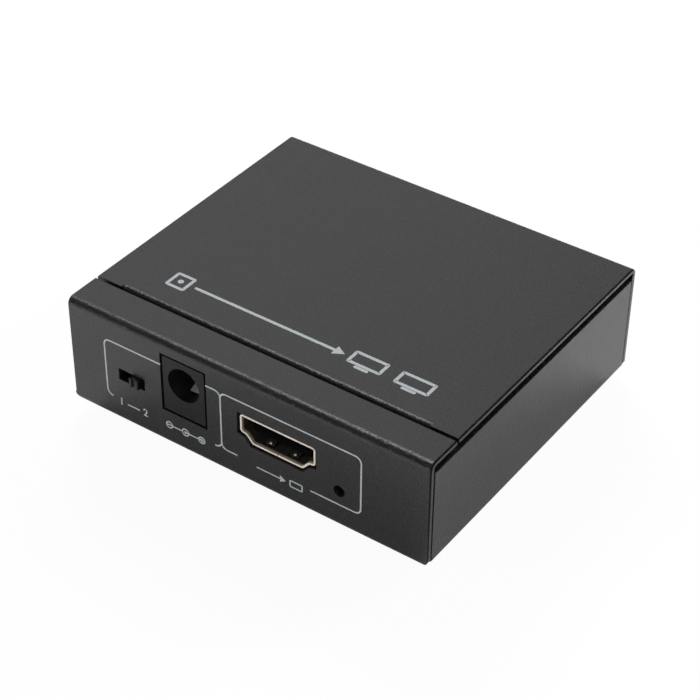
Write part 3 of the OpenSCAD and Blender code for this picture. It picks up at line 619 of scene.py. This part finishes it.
def select_only(obj: bpy.types.Object) -> None:
    """Selects one object, makes it the active one and deselects all others.

    Args:
        obj: The object.
    """
    bpy.ops.object.select_all(action="DESELECT")
    obj.select_set(True)
    bpy.context.view_layer.objects.active = obj


def own_copy(obj: bpy.types.Object) -> bpy.types.Object:
    """Copies an object into the scene, with a mesh of its own.

    Args:
        obj: The object.

    Returns:
        The copy.
    """
    copy = obj.copy()
    copy.data = obj.data.copy()
    bpy.context.scene.collection.objects.link(copy)
    return copy


def joined(parts: list[bpy.types.Object]) -> bpy.types.Object:
    """Joins objects into the first of them.

    Args:
        parts: The objects.

    Returns:
        The first one, which now holds all their meshes.
    """
    select_only(parts[0])
    for part in parts:
        part.select_set(True)
    bpy.ops.object.join()
    return parts[0]


def settle(obj: bpy.types.Object) -> None:
    """Moves an object's place, turn and scale into its mesh."""
    select_only(obj)
    bpy.ops.object.transform_apply(location=True, rotation=True, scale=True)


@contextmanager
def editing(obj: bpy.types.Object, mode: str = "FACE") -> Iterator[None]:
    """Opens an object in edit mode with all of it selected.

    Args:
        obj: The object to edit.
        mode: What is selected: VERT, EDGE or FACE.

    Yields:
        Nothing.
    """
    select_only(obj)
    bpy.ops.object.mode_set(mode="EDIT")
    bpy.ops.mesh.select_mode(type=mode)
    bpy.ops.mesh.select_all(action="SELECT")
    yield
    bpy.ops.object.mode_set(mode="OBJECT")


def select_faces(obj: bpy.types.Object, chosen: Callable[[Vector], bool]) -> None:
    """Selects the faces of an object in edit mode by their centres.

    Args:
        obj: The object, which is in edit mode.
        chosen: Says for a face's centre whether it is selected.
    """
    bpy.ops.mesh.select_all(action="DESELECT")
    bpy.ops.object.mode_set(mode="OBJECT")
    for face in obj.data.polygons:
        face.select = chosen(face.center)
    bpy.ops.object.mode_set(mode="EDIT")


def apply_modifier(obj: bpy.types.Object, kind: str, **settings: object) -> None:
    """Adds a modifier with its settings and applies it.

    Args:
        obj: The object.
        kind: The modifier's type.
        **settings: Its properties.
    """
    select_only(obj)
    modifier = obj.modifiers.new(kind.lower(), kind)
    for name, setting in settings.items():
        setattr(modifier, name, setting)
    bpy.ops.object.modifier_apply(modifier=modifier.name)


def place(obj: bpy.types.Object, name: str, finish: Finish, body: Body) -> bpy.types.Object:
    """Names a finished piece, gives it its finish and lets it ride on a body.

    Args:
        obj: The piece, whose place is in its mesh.
        name: Its name.
        finish: Its finish.
        body: The body that it moves with.

    Returns:
        The piece.
    """
    obj.name = name
    obj.data.name = name
    if not obj.data.materials:
        obj.data.materials.append(finish.material())
    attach(obj, body.value)
    log.info("piece %s on %s: %d faces", name, body.value, len(obj.data.polygons))
    return obj


def dress(node: str, slot: str, finish: Finish | None = None) -> None:
    """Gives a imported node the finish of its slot.

    Args:
        node: The node's name.
        slot: The record's material slot.
        finish: Its finish, where it differs from the slot's.
    """
    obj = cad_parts[node]
    obj.data.materials.clear()
    obj.data.materials.append((finish or FINISHES[slot]).material())
    log.info("node %s dressed in %s", node, slot)


def weigh_edges(obj: bpy.types.Object, weight: EdgeWeight) -> None:
    """Gives the sharp edges of an object their share of its rounding.

    Args:
        obj: The object.
        weight: Gives the share for an edge's two ends.
    """
    with editing(obj, "EDGE"):
        bpy.ops.mesh.select_all(action="DESELECT")
        bpy.ops.mesh.edges_select_sharp(sharpness=SHARP_ANGLE)
        bpy.ops.object.mode_set(mode="OBJECT")
        groups: dict[float, list[int]] = {}
        for edge in obj.data.edges:
            if edge.select:
                start, end = (obj.data.vertices[i].co for i in edge.vertices)
                groups.setdefault(weight(start, end), []).append(edge.index)
        for share, indices in groups.items():
            bpy.ops.object.mode_set(mode="EDIT")
            bpy.ops.mesh.select_all(action="DESELECT")
            bpy.ops.object.mode_set(mode="OBJECT")
            for index in indices:
                obj.data.edges[index].select = True
            bpy.ops.object.mode_set(mode="EDIT")
            bpy.ops.transform.edge_bevelweight(value=share)


def softened(node: str, slot: str, radius: float, segments: int = 2, edge_finish: Finish | None = None,
             body: Body = Body.CASE, weight: EdgeWeight | None = None) -> bpy.types.Object:
    """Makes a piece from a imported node, with its sharp edges rounded, and puts it in the node's place.

    Args:
        node: The node that the piece stands for.
        slot: The record's material slot.
        radius: Radius of the rounded edges in metres.
        segments: Faces across a rounded edge.
        edge_finish: Finish of the rounded edges, where it differs.
        body: The body that it moves with.
        weight: Gives the share of the radius for an edge's two ends, where edges differ.

    Returns:
        The piece.
    """
    obj = own_copy(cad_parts[node])
    obj.parent = None
    obj.matrix_world = Matrix.Identity(4)
    obj.data.materials.clear()
    for finish in (FINISHES[slot], edge_finish or FINISHES[slot]):
        obj.data.materials.append(finish.material())
    with editing(obj, "VERT"):
        bpy.ops.mesh.remove_doubles(threshold=WELD_GAP)
        bpy.ops.mesh.dissolve_limited(angle_limit=FLAT_ANGLE)
    if weight:
        weigh_edges(obj, weight)
    limit = "WEIGHT" if weight else "ANGLE"
    apply_modifier(obj, "BEVEL", width=radius, segments=segments, limit_method=limit, angle_limit=SHARP_ANGLE,
                   material=1, loop_slide=True, use_clamp_overlap=not weight)
    bpy.ops.object.shade_smooth_by_angle(angle=SMOOTH_ANGLE)
    apply_modifier(obj, "WEIGHTED_NORMAL", keep_sharp=True)
    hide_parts(node)
    return place(obj, f"{node}_rounded", FINISHES[slot], body)


@dataclass
class SheetCase:
    """Coated sheet-metal tray and cover, with their feet and screws.

    Attributes:
        low: Lower corner of the tray, in metres.
        high: Upper corner of the tray, in metres.
        sheet: Thickness of the sheet.
        corner_h: Height and depth of the tray's lower corners.
        edge_radius: Radius of a coated outer edge.
        opening_share: Share of that radius on the tray's openings.
        foot_radius: Radius of the edges of a foot.
        screw_radius: Radius of the edges of a screw head.
    """

    low: Vector
    high: Vector
    sheet: float = 1.0 * MM
    corner_h: float = 1.9 * MM
    edge_radius: float = 0.27 * MM
    opening_share: float = 0.35
    foot_radius: float = 0.2 * MM
    screw_radius: float = 0.06 * MM

    def build(self) -> None:
        """Builds the tray, the cover, the feet and the screws."""
        for node, weight in (("base_tray", self._tray_weight), ("top_cover", self._outer)):
            softened(node, "case_coat", self.edge_radius, 3, SHADED_EDGE_COAT, weight=weight)
        softened("rubber_feet", "foot_rubber", self.foot_radius)
        softened("cover_screws", "black_steel", self.screw_radius)

    def _outer(self, start: Vector, end: Vector) -> float:
        """Rounds the edges that bound a side of the case, except where one butts its neighbour.

        Args:
            start: One end of the edge.
            end: Its other end.

        Returns:
            1 for such an edge, and 0 for others.
        """
        on_side = min(abs(start.x), abs(end.x)) > self.high.x - TOUCH_GAP
        upright = abs(start.x - end.x) + abs(start.y - end.y) < TOUCH_GAP
        butting = upright and self.low.y + self.sheet + TOUCH_GAP < start.y < self.high.y - TOUCH_GAP
        return float(on_side and not butting)

    def _tray_weight(self, start: Vector, end: Vector) -> float:
        """Rounds the tray's outer edges in full, its openings less and its lower corners not at all.

        Args:
            start: One end of the edge.
            end: Its other end.

        Returns:
            The edge's share of the radius.
        """
        from_end = min(start.y - self.low.y, self.high.y - start.y)
        low_corner = from_end < self.corner_h and max(start.z, end.z) < self.low.z + self.corner_h
        return 0.0 if low_corner else max(self._outer(start, end), self.opening_share)


@dataclass
class FlatPrint:
    """Ink on one face of the case, drawn flat and then laid on the face.

    Attributes:
        name: Name of the printed piece.
        panel: The face that carries it.
        thickness: How far the ink stands on the coat.
        step: How much further each stroke stands out than the one before it.
        corner_steps: Edges around a rounded corner.
        end_steps: Edges around a quarter of a line's rounded end.
        end_share: Radius of a line's end, as a share of its width.
        font_share: Size of a number's font, as a share of its height.
        bold: How much thicker than the font's a number's lines are.
        strokes: The flat shapes drawn so far.
    """

    name: str
    panel: Panel
    thickness: float = 0.008 * MM
    step: float = 0.0005 * MM
    corner_steps: int = 6
    end_steps: int = 4
    end_share: float = 0.49
    font_share: float = 1.4
    bold: float = 0.04 * MM
    strokes: list[bpy.types.Object] = field(default_factory=list)

    def _keep(self, obj: bpy.types.Object) -> bpy.types.Object:
        """Applies a new shape's place, a step above the last one's, and keeps it as a stroke.

        Args:
            obj: The new shape.

        Returns:
            The stroke.
        """
        obj.location.z = len(self.strokes) * self.step
        settle(obj)
        self.strokes.append(obj)
        return obj

    def _plane(self, centre: Point, size: Point, turn: float = 0.0) -> bpy.types.Object:
        """Adds a rectangle.

        Args:
            centre: Its centre in metres.
            size: Its width and height in metres.
            turn: Its turn in radians.

        Returns:
            The rectangle.
        """
        bpy.ops.object.select_all(action="DESELECT")
        bpy.ops.mesh.primitive_plane_add(size=1.0, location=(*centre, 0.0), rotation=(0.0, 0.0, turn))
        obj = bpy.context.object
        obj.scale = (*size, 1.0)
        return self._keep(obj)

    def frame(self, low: Point, high: Point, radius: float, width: float) -> bpy.types.Object:
        """Draws the outline of a rounded rectangle, given by the middle of its line.

        Args:
            low: Its lower left corner.
            high: Its upper right corner.
            radius: Radius of its corners.
            width: Width of its line.

        Returns:
            The outline.
        """
        size = (high[0] - low[0] + width, high[1] - low[1] + width)
        obj = self._plane(((low[0] + high[0]) / 2, (low[1] + high[1]) / 2), size)
        with editing(obj, "VERT"):
            bpy.ops.mesh.bevel(offset=radius, segments=self.corner_steps, affect="VERTICES")
            bpy.ops.mesh.select_mode(type="FACE")
            bpy.ops.mesh.select_all(action="SELECT")
            bpy.ops.mesh.inset(thickness=width, depth=0.0)
            bpy.ops.mesh.delete(type="FACE")
        return obj

    def bar(self, start: Point, end: Point, width: float) -> bpy.types.Object:
        """Draws a straight line with rounded ends.

        Args:
            start: Middle of its first end.
            end: Middle of its other end.
            width: Its width.

        Returns:
            The line.
        """
        along = Vector(end) - Vector(start)
        middle = (Vector(end) + Vector(start)) / 2
        obj = self._plane(tuple(middle), (along.length + width, width), math.atan2(along.y, along.x))
        with editing(obj, "VERT"):
            bpy.ops.mesh.bevel(offset=self.end_share * width, segments=self.end_steps, affect="VERTICES")
        return obj

    def disc(self, centre: Point, radius: float, hole: float = 0.0, corners: int = 32) -> bpy.types.Object:
        """Draws a disc, a ring or a regular shape with few corners.

        Args:
            centre: Its centre.
            radius: Its outer radius.
            hole: Width of its line, or 0 for a full disc.
            corners: Number of its corners.

        Returns:
            The disc.
        """
        bpy.ops.object.select_all(action="DESELECT")
        bpy.ops.mesh.primitive_circle_add(vertices=corners, radius=radius, fill_type="NGON",
                                          location=(*centre, 0.0), rotation=(0.0, 0.0, -math.pi / 2))
        obj = self._keep(bpy.context.object)
        if hole:
            with editing(obj):
                bpy.ops.mesh.inset(thickness=hole, depth=0.0)
                bpy.ops.mesh.delete(type="FACE")
        return obj

    def digit(self, text: str, centre: Point, height: float) -> bpy.types.Object:
        """Sets a plain number.

        Args:
            text: The number.
            centre: Its centre.
            height: Its height in metres.

        Returns:
            The number as a mesh.
        """
        bpy.ops.object.select_all(action="DESELECT")
        bpy.ops.object.text_add(location=(*centre, 0.0))
        obj = bpy.context.object
        obj.data.body = text
        obj.data.align_x = "CENTER"
        obj.data.align_y = "CENTER"
        obj.data.size = height * self.font_share
        obj.data.offset = self.bold
        bpy.ops.object.convert(target="MESH")
        return self._keep(bpy.context.object)

    def clear(self, obj: bpy.types.Object, low: Point, high: Point) -> None:
        """Cuts away what lies inside a box.

        Args:
            obj: The stroke to cut.
            low: The box's lower left corner.
            high: The box's upper right corner.
        """
        with editing(obj):
            for x in (low[0], high[0]):
                bpy.ops.mesh.select_all(action="SELECT")
                bpy.ops.mesh.bisect(plane_co=(x, 0.0, 0.0), plane_no=(1.0, 0.0, 0.0))
            select_faces(obj, lambda c: low[0] < c.x < high[0] and low[1] < c.y < high[1])
            bpy.ops.mesh.delete(type="FACE")

    def lay(self, origin: Vector) -> bpy.types.Object:
        """Joins the strokes, gives them the ink's thickness and lays them on the panel.

        Args:
            origin: The panel's point that the drawing's origin comes to.

        Returns:
            The printed piece.
        """
        obj = joined(self.strokes)
        with editing(obj):
            bpy.ops.mesh.normals_make_consistent(inside=False)
        apply_modifier(obj, "SOLIDIFY", thickness=2 * self.thickness, offset=0.0)
        obj.location = origin
        if self.panel is Panel.FRONT:
            obj.rotation_euler = (math.pi / 2, 0.0, 0.0)
        settle(obj)
        return place(obj, self.name, INK, Body.CASE)


@dataclass
class FrontPrint:
    """Outlines that group the front's fittings, and plain signs beneath them.

    Places are measured right of the panel's middle and above the underside of the case.

    Attributes:
        line: Width of an outline's line.
        radius: Radius of an outline's corners.
        left: Left side of the power outline.
        shared: Side that both outlines have.
        right: Right side of the video outline.
        bottom: Lower side of both outlines.
        top: Upper side of both outlines.
        jack_opening: Where the jack interrupts the upper side.
        left_gap: Where the signs interrupt the power outline.
        right_gap: Where the sign interrupts the video outline.
        gap_reach: How far an interruption reaches above and below the line.
        sign_z: Middle of the signs.
        sign_line: Width of a sign's line.
        switch_x: Middle of the switch.
        digit_x: Distance of a number from there.
        digit_h: Height of a number.
        dash: Half the length of the dash between the numbers.
        jack_x: Middle of the jack.
        pole_x: Distance of a pole's ring from there.
        pole_r: Radius of a pole's ring.
        pole_arm: Half the length of a minus or plus.
        lead: Start and end of the line to a pole.
        core_r: Radius of the ring in the middle.
        dot_r: Radius of the dot in it.
        socket_x: Middle of the socket.
        arrow: Start and end of the arrow's line, from there.
        head_x: Middle of the arrow's head, from there.
        head_r: Radius of the arrow's head.
        port: Left and right side of the small socket, from there.
        port_half_h: Half its height.
        port_r: Radius of its corners.
    """

    line: float = 0.30 * MM
    radius: float = 1.3 * MM
    left: float = -28.45 * MM
    shared: float = -4.2 * MM
    right: float = 23.35 * MM
    bottom: float = 4.85 * MM
    top: float = 16.5 * MM
    jack_opening: Point = (-16.45 * MM, -7.15 * MM)
    left_gap: Point = (-27.2 * MM, -5.6 * MM)
    right_gap: Point = (-1.0 * MM, 13.6 * MM)
    gap_reach: float = 1.0 * MM
    sign_z: float = 4.35 * MM
    sign_line: float = 0.26 * MM
    switch_x: float = -22.9 * MM
    digit_x: float = 2.6 * MM
    digit_h: float = 1.5 * MM
    dash: float = 1.2 * MM
    jack_x: float = -11.8 * MM
    pole_x: float = 3.4 * MM
    pole_r: float = 0.75 * MM
    pole_arm: float = 0.3 * MM
    lead: Point = (1.0 * MM, 2.6 * MM)
    core_r: float = 0.8 * MM
    dot_r: float = 0.28 * MM
    socket_x: float = 7.0 * MM
    arrow: Point = (-4.0 * MM, 0.6 * MM)
    head_x: float = 1.0 * MM
    head_r: float = 0.8 * MM
    port: Point = (2.6 * MM, 5.0 * MM)
    port_half_h: float = 0.62 * MM
    port_r: float = 0.3 * MM

    def build(self, origin: Vector) -> None:
        """Builds both outlines and the signs.

        Args:
            origin: Middle of the front panel's lower edge.
        """
        outlines = FlatPrint("front_outlines", Panel.FRONT)
        self._outlines(outlines)
        outlines.lay(origin)
        signs = FlatPrint("front_signs", Panel.FRONT)
        self._switch_sign(signs)
        self._jack_sign(signs)
        self._socket_sign(signs)
        signs.lay(origin)

    def _outlines(self, ink: FlatPrint) -> None:
        """Draws the two outlines, open where the jack and the signs are.

        Args:
            ink: The print that they belong to.
        """
        power = ink.frame((self.left, self.bottom), (self.shared, self.top), self.radius, self.line)
        self._interrupt(ink, power, self.jack_opening, self.top)
        self._interrupt(ink, power, self.left_gap, self.bottom)
        video = ink.frame((self.shared, self.bottom), (self.right, self.top), self.radius, self.line)
        self._interrupt(ink, video, self.right_gap, self.bottom)

    def _interrupt(self, ink: FlatPrint, outline: bpy.types.Object, gap: Point, z: float) -> None:
        """Cuts a gap into the side of an outline that lies at a height."""
        ink.clear(outline, (gap[0], z - self.gap_reach), (gap[1], z + self.gap_reach))

    def _switch_sign(self, ink: FlatPrint) -> None:
        """Draws the switch's two numbers, with a dash between them.

        Args:
            ink: The print that they belong to.
        """
        for text, side in (("1", -1), ("2", 1)):
            ink.digit(text, (self.switch_x + side * self.digit_x, self.sign_z), self.digit_h)
        start, end = (self.switch_x + side * self.dash for side in (-1, 1))
        ink.bar((start, self.sign_z), (end, self.sign_z), self.sign_line)

    def _jack_sign(self, ink: FlatPrint) -> None:
        """Draws the plug's polarity: minus, ring and dot, plus.

        Args:
            ink: The print that it belongs to.
        """
        x, z, line = self.jack_x, self.sign_z, self.sign_line
        for side in (-1, 1):
            pole, arm = x + side * self.pole_x, side * self.pole_arm
            ink.disc((pole, z), self.pole_r, line)
            ink.bar((pole - arm, z), (pole + arm, z), line)
            ink.bar((x + side * self.lead[0], z), (x + side * self.lead[1], z), line)
        plus = x + self.pole_x
        ink.bar((plus, z - self.pole_arm), (plus, z + self.pole_arm), line)
        ink.disc((x, z), self.core_r, line)
        ink.disc((x, z), self.dot_r)
        ink.bar((x, z), (x + self.lead[0], z), line)

    def _socket_sign(self, ink: FlatPrint) -> None:
        """Draws an arrow into a small socket.

        Args:
            ink: The print that it belongs to.
        """
        x, z = self.socket_x, self.sign_z
        ink.bar((x + self.arrow[0], z), (x + self.arrow[1], z), self.sign_line)
        ink.disc((x + self.head_x, z), self.head_r, corners=3)
        low, high = (x + self.port[0], z - self.port_half_h), (x + self.port[1], z + self.port_half_h)
        ink.frame(low, high, self.port_r, self.sign_line)


@dataclass
class LidPrint:
    """Plain signal-flow sign on the lid: one source, two screens.

    Places are measured right of the lid's middle and behind the front panel.

    Attributes:
        middle_y: Middle of the sign.
        height: Its height.
        line: Width of its lines.
        source_x: Middle of the source.
        source_r: Radius of the source's corners.
        dot_r: Radius of the source's dot.
        arrow_gaps: Room between the arrow's line and the source and screen.
        head_r: Radius of the arrow's head.
        screens_x: Middles of the screens.
        screen_w: Width of a screen.
        screen_r: Radius of a screen's corners.
        stand_h: Height of a screen's stand.
        stand_reach: Half the length of a screen's stand.
    """

    middle_y: float = 14.5 * MM
    height: float = 3.4 * MM
    line: float = 0.6 * MM
    source_x: float = -23.6 * MM
    source_r: float = 0.5 * MM
    dot_r: float = 0.55 * MM
    arrow_gaps: Point = (1.6 * MM, 2.6 * MM)
    head_r: float = 1.3 * MM
    screens_x: Point = (14.2 * MM, 23.2 * MM)
    screen_w: float = 6.0 * MM
    screen_r: float = 0.4 * MM
    stand_h: float = 0.7 * MM
    stand_reach: float = 1.1 * MM

    def build(self, origin: Vector) -> None:
        """Builds the sign.

        Args:
            origin: Middle of the lid's front edge, on its upper face.
        """
        ink = FlatPrint("lid_sign", Panel.LID)
        source, y = self.source_x, self.middle_y
        half, reach = self.height / 2, self.screen_w / 2
        low, high = y - half, y + half
        ink.frame((source - half, low), (source + half, high), self.source_r, self.line)
        ink.disc((source, y), self.dot_r)
        start = source + half + self.arrow_gaps[0]
        end = self.screens_x[0] - reach - self.arrow_gaps[1]
        ink.bar((start, y), (end, y), self.line)
        ink.disc((end, y), self.head_r, corners=3)
        for x in self.screens_x:
            ink.frame((x - reach, low + self.stand_h), (x + reach, high), self.screen_r, self.line)
            ink.bar((x - self.stand_reach, low), (x + self.stand_reach, low), self.line)
        ink.lay(origin)


@dataclass
class VideoSocket:
    """Shell, insulator and contacts of one video socket, with the dimples of its springs.

    Attributes:
        name: Start of its nodes' names.
        panel_side: -1 where its mouth faces the front, 1 where it faces the back.
        rim_radius: Radius of the edges of its folded shell.
        shell_h: Height of its shell.
        spring_x: Distance of a spring from the middle of the shell.
        dimple_depth: Distance of a dimple from the mouth.
        dimple_lift: Distance of a dimple's centre from the outside of the shell.
        dimple_radius: Radius of a dimple.
    """

    name: str
    panel_side: int
    rim_radius: float = 0.07 * MM
    shell_h: float = 5.3 * MM
    spring_x: float = 2.45 * MM
    dimple_depth: float = 1.56 * MM
    dimple_lift: float = 0.47 * MM
    dimple_radius: float = 0.36 * MM

    def build(self) -> None:
        """Builds the shell, the insulator and the dimples, and dresses the contacts."""
        softened(f"{self.name}_shell", "socket_metal", self.rim_radius)
        softened(f"{self.name}_insulator", "socket_plastic", self.rim_radius)
        dress(f"{self.name}_contacts", "contact_gold")
        self._dimples()

    def _dimples(self) -> None:
        """Adds the pressed dimple that each of the four springs touches a plug with."""
        low, high = (Vector(corner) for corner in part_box(f"{self.name}_shell"))
        mouth = low.y if self.panel_side < 0 else high.y
        middle, y = (low.x + high.x) / 2, mouth - self.panel_side * self.dimple_depth
        walls = (high.z - self.shell_h + self.dimple_lift, high.z - self.dimple_lift)
        turns = (0.0, math.pi)
        dome = self._dome()
        domes = []
        for side in (-1, 1):
            for z, turn in zip(walls, turns):
                domes.append(own_copy(dome))
                domes[-1].location = (middle + side * self.spring_x, y, z)
                domes[-1].rotation_euler = (0.0, turn, 0.0)
        bpy.data.objects.remove(dome)
        dimples = joined(domes)
        settle(dimples)
        bpy.ops.object.shade_smooth_by_angle(angle=SMOOTH_ANGLE)
        place(dimples, f"{self.name}_dimples", BRIGHT_PLATING, Body.CASE)

    def _dome(self) -> bpy.types.Object:
        """Makes one dimple that stands up from the origin.

        Returns:
            The dimple.
        """
        bpy.ops.object.select_all(action="DESELECT")
        bpy.ops.mesh.primitive_uv_sphere_add(segments=20, ring_count=10, radius=self.dimple_radius)
        dome = bpy.context.object
        with editing(dome):
            bpy.ops.mesh.bisect(plane_co=(0.0, 0.0, 0.0), plane_no=(0.0, 0.0, 1.0), use_fill=True,
                                clear_inner=True)
        return dome


@dataclass
class PowerJack:
    """Moulded jack with its pin, tab and springs.

    Attributes:
        edge_radius: Radius of the edges of its housing.
    """

    edge_radius: float = 0.12 * MM

    def build(self) -> None:
        """Builds the housing and dresses the metal in it."""
        softened("jack_housing", "jack_plastic", self.edge_radius)
        for node in ("jack_center_pin", "jack_pin_tab", "jack_sleeve_spring", "jack_break_contact"):
            dress(node, "plain_steel", TIN)


@dataclass
class SlideSwitch:
    """Slide switch: frame, base and terminals stay, slider and wiper move.

    Attributes:
        edge_radius: Radius of the edges of its slider.
    """

    edge_radius: float = 0.12 * MM

    def build(self) -> None:
        """Builds the slider and dresses the rest."""
        softened("switch_slider", "switch_plastic", self.edge_radius, body=Body.SLIDER)
        dress("switch_frame", "black_steel")
        dress("switch_base", "switch_plastic")
        for node in ("switch_terminals", "switch_wiper"):
            dress(node, "contact_gold")


@dataclass
class Board:
    """Circuit board, its fixings and the parts on it, in the finishes of their slots.

    Attributes:
        finishes: Nodes that take each of the record's slots.
    """

    finishes: dict[str, tuple[str, ...]] = field(default_factory=lambda: {
        "board_black": ("circuit_board",),
        "plain_steel": ("board_standoffs", "board_screws"),
        "chip_black": ("splitter_chip", "memory_chips", "regulator_chip", "input_diode", "surge_arrays",
                       "resistors", "capacitor_bases"),
        "ferrite": ("power_inductor",),
        "can_metal": ("capacitor_cans", "clock_crystal"),
        "ceramic_tan": ("ceramic_capacitors",),
        "light_white": ("power_light",),
        "light_lens": ("power_light_lens",),
    })

    def build(self) -> None:
        """Dresses every node of the board."""
        for slot, nodes in self.finishes.items():
            for node in nodes:
                dress(node, slot)


@dataclass(frozen=True)
class Lamp:
    """Soft box that faces the object.

    Attributes:
        name: Its name.
        place: Its middle, in metres.
        size: Its width and height, in metres.
        power: Its power in watts.
        reach: The surfaces that its light reaches.
    """

    name: str
    place: Triple
    size: Point
    power: float
    reach: Reach = Reach.ALL

    def build(self, aim: Vector) -> None:
        """Adds the lamp.

        Args:
            aim: The point that it faces.
        """
        bpy.ops.object.select_all(action="DESELECT")
        bpy.ops.object.light_add(type="AREA", location=self.place)
        lamp = bpy.context.object
        lamp.name = self.name
        lamp.data.shape = "RECTANGLE"
        lamp.data.size, lamp.data.size_y = self.size
        lamp.data.energy = self.power
        lamp.visible_diffuse, lamp.visible_glossy = self.reach.value
        lamp.rotation_euler = (aim - Vector(self.place)).to_track_quat("-Z", "Y").to_euler()


@dataclass
class Studio:
    """Pale floor, soft lamps and the camera at the photograph's angle.

    Attributes:
        camera_place: Camera in metres.
        camera_aim: Point in the middle of the picture, in metres.
        camera_roll: Turn about the line of sight.
        lens: Focal length in millimetres.
        sensor: Width of the camera's sensor in millimetres.
        nearest: Nearest distance that the camera sees, in metres.
        floor_radius: Radius of the floor.
        floor_tone: Grey of the floor.
        glow: Shares of plain white in the floor and backdrop, as the camera sees them and as mirrors do.
        sky: Strength of the world's light.
        lamps: The soft boxes.
        lamp_aim: Point that the lamps face.
    """

    camera_place: Triple = (153.705 * MM, -222.075 * MM, 219.908 * MM)
    camera_aim: Triple = (-3.805 * MM, 4.591 * MM, 4.704 * MM)
    camera_roll: float = math.radians(0.651)
    lens: float = 102.857
    sensor: float = 36.0
    nearest: float = 0.01
    floor_radius: float = 6.0
    floor_tone: float = 0.86
    glow: Point = (0.95, 0.06)
    sky: float = 0.065
    lamps: tuple[Lamp, ...] = (
        Lamp("back_panel", (-0.50, 0.60, 0.62), (0.8, 0.8), 1.40),
        Lamp("top_box", (-0.28, 0.03, 0.80), (0.24, 0.34), 2.4, Reach.MIRROR),
        Lamp("key", (-0.50, 0.60, 0.62), (0.35, 0.35), 9.0, Reach.MATT),
        Lamp("front_fill", (-0.60, -0.70, 0.13), (0.4, 0.25), 6.0, Reach.MATT),
        Lamp("right_fill", (0.36, 0.66, 0.36), (0.3, 0.3), 6.0, Reach.MATT),
        Lamp("camera_fill", (0.50, -0.65, 0.70), (0.3, 0.3), 1.8),
    )
    lamp_aim: Triple = (0.0, 0.0, 0.01)

    def build(self) -> None:
        """Builds camera, floor, lamps and world."""
        self._camera()
        self._floor()
        self._world()
        for lamp in self.lamps:
            lamp.build(Vector(self.lamp_aim))
        bpy.context.scene.view_settings.view_transform = "Standard"

    def _camera(self) -> None:
        """Adds the camera and makes it the scene's."""
        bpy.ops.object.select_all(action="DESELECT")
        bpy.ops.object.camera_add(location=self.camera_place)
        camera = bpy.context.object
        sight = (Vector(self.camera_aim) - Vector(self.camera_place)).to_track_quat("-Z", "Y").to_matrix()
        camera.rotation_euler = (sight @ Matrix.Rotation(self.camera_roll, 3, "Z")).to_euler()
        camera.data.lens = self.lens
        camera.data.sensor_width = self.sensor
        camera.data.clip_start = self.nearest
        bpy.context.scene.camera = camera

    def _glow(self, tree: ShaderTree) -> Value:
        """Gives the share of plain white for the kind of ray that sees it.

        Args:
            tree: Tree of the floor or the world.

        Returns:
            The share.
        """
        camera, glossy, through = (tree.add("ShaderNodeLightPath", {}, {}, f"Is {kind} Ray")
                                   for kind in ("Camera", "Glossy", "Transmission"))
        return (camera * self.glow[0]).most(glossy.most(through) * self.glow[1])

    def _floor(self) -> None:
        """Adds the floor, white where it is seen, which keeps the object's shadow."""
        bpy.ops.object.select_all(action="DESELECT")
        bpy.ops.mesh.primitive_circle_add(vertices=128, radius=self.floor_radius, fill_type="NGON")
        floor = bpy.context.object
        floor.name = "floor"
        material = bpy.data.materials.new("floor_white")
        material.use_nodes = True
        tree = ShaderTree(material.node_tree)
        matt = tree.add("ShaderNodeBsdfDiffuse", {}, {"Color": rgba(shade(WHITE, self.floor_tone))})
        white = tree.add("ShaderNodeEmission", {}, {"Color": rgba(WHITE), "Strength": 1.0})
        tree.output(tree.add("ShaderNodeMixShader", {}, {0: self._glow(tree), 1: matt, 2: white}))
        floor.data.materials.append(material)

    def _world(self) -> None:
        """Sets the world's plain soft light, white where it is seen."""
        world = bpy.data.worlds.new("studio")
        bpy.context.scene.world = world
        world.use_nodes = True
        tree = ShaderTree(world.node_tree)
        soft, white = (tree.add("ShaderNodeBackground", {}, {"Color": rgba(WHITE), "Strength": strength})
                       for strength in (self.sky, 1.0))
        backdrop = tree.add("ShaderNodeMixShader", {}, {0: self._glow(tree), 1: soft, 2: white})
        tree.output(backdrop, "ShaderNodeOutputWorld")


def main() -> None:
    """Builds the studio and every sub-assembly in order."""
    logging.basicConfig(level=logging.INFO, format="%(name)s: %(message)s")
    low, high = (Vector(corner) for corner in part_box("base_tray"))
    Studio().build()
    SheetCase(low, high).build()
    FrontPrint().build(Vector((0.0, low.y, low.z)))
    LidPrint().build(Vector((0.0, low.y, high.z)))
    for name, side in (("input_socket", -1), ("output_1_socket", 1), ("output_2_socket", 1)):
        VideoSocket(name, side).build()
    PowerJack().build()
    SlideSwitch().build()
    Board().build()


if __name__ == "__main__":
    main()
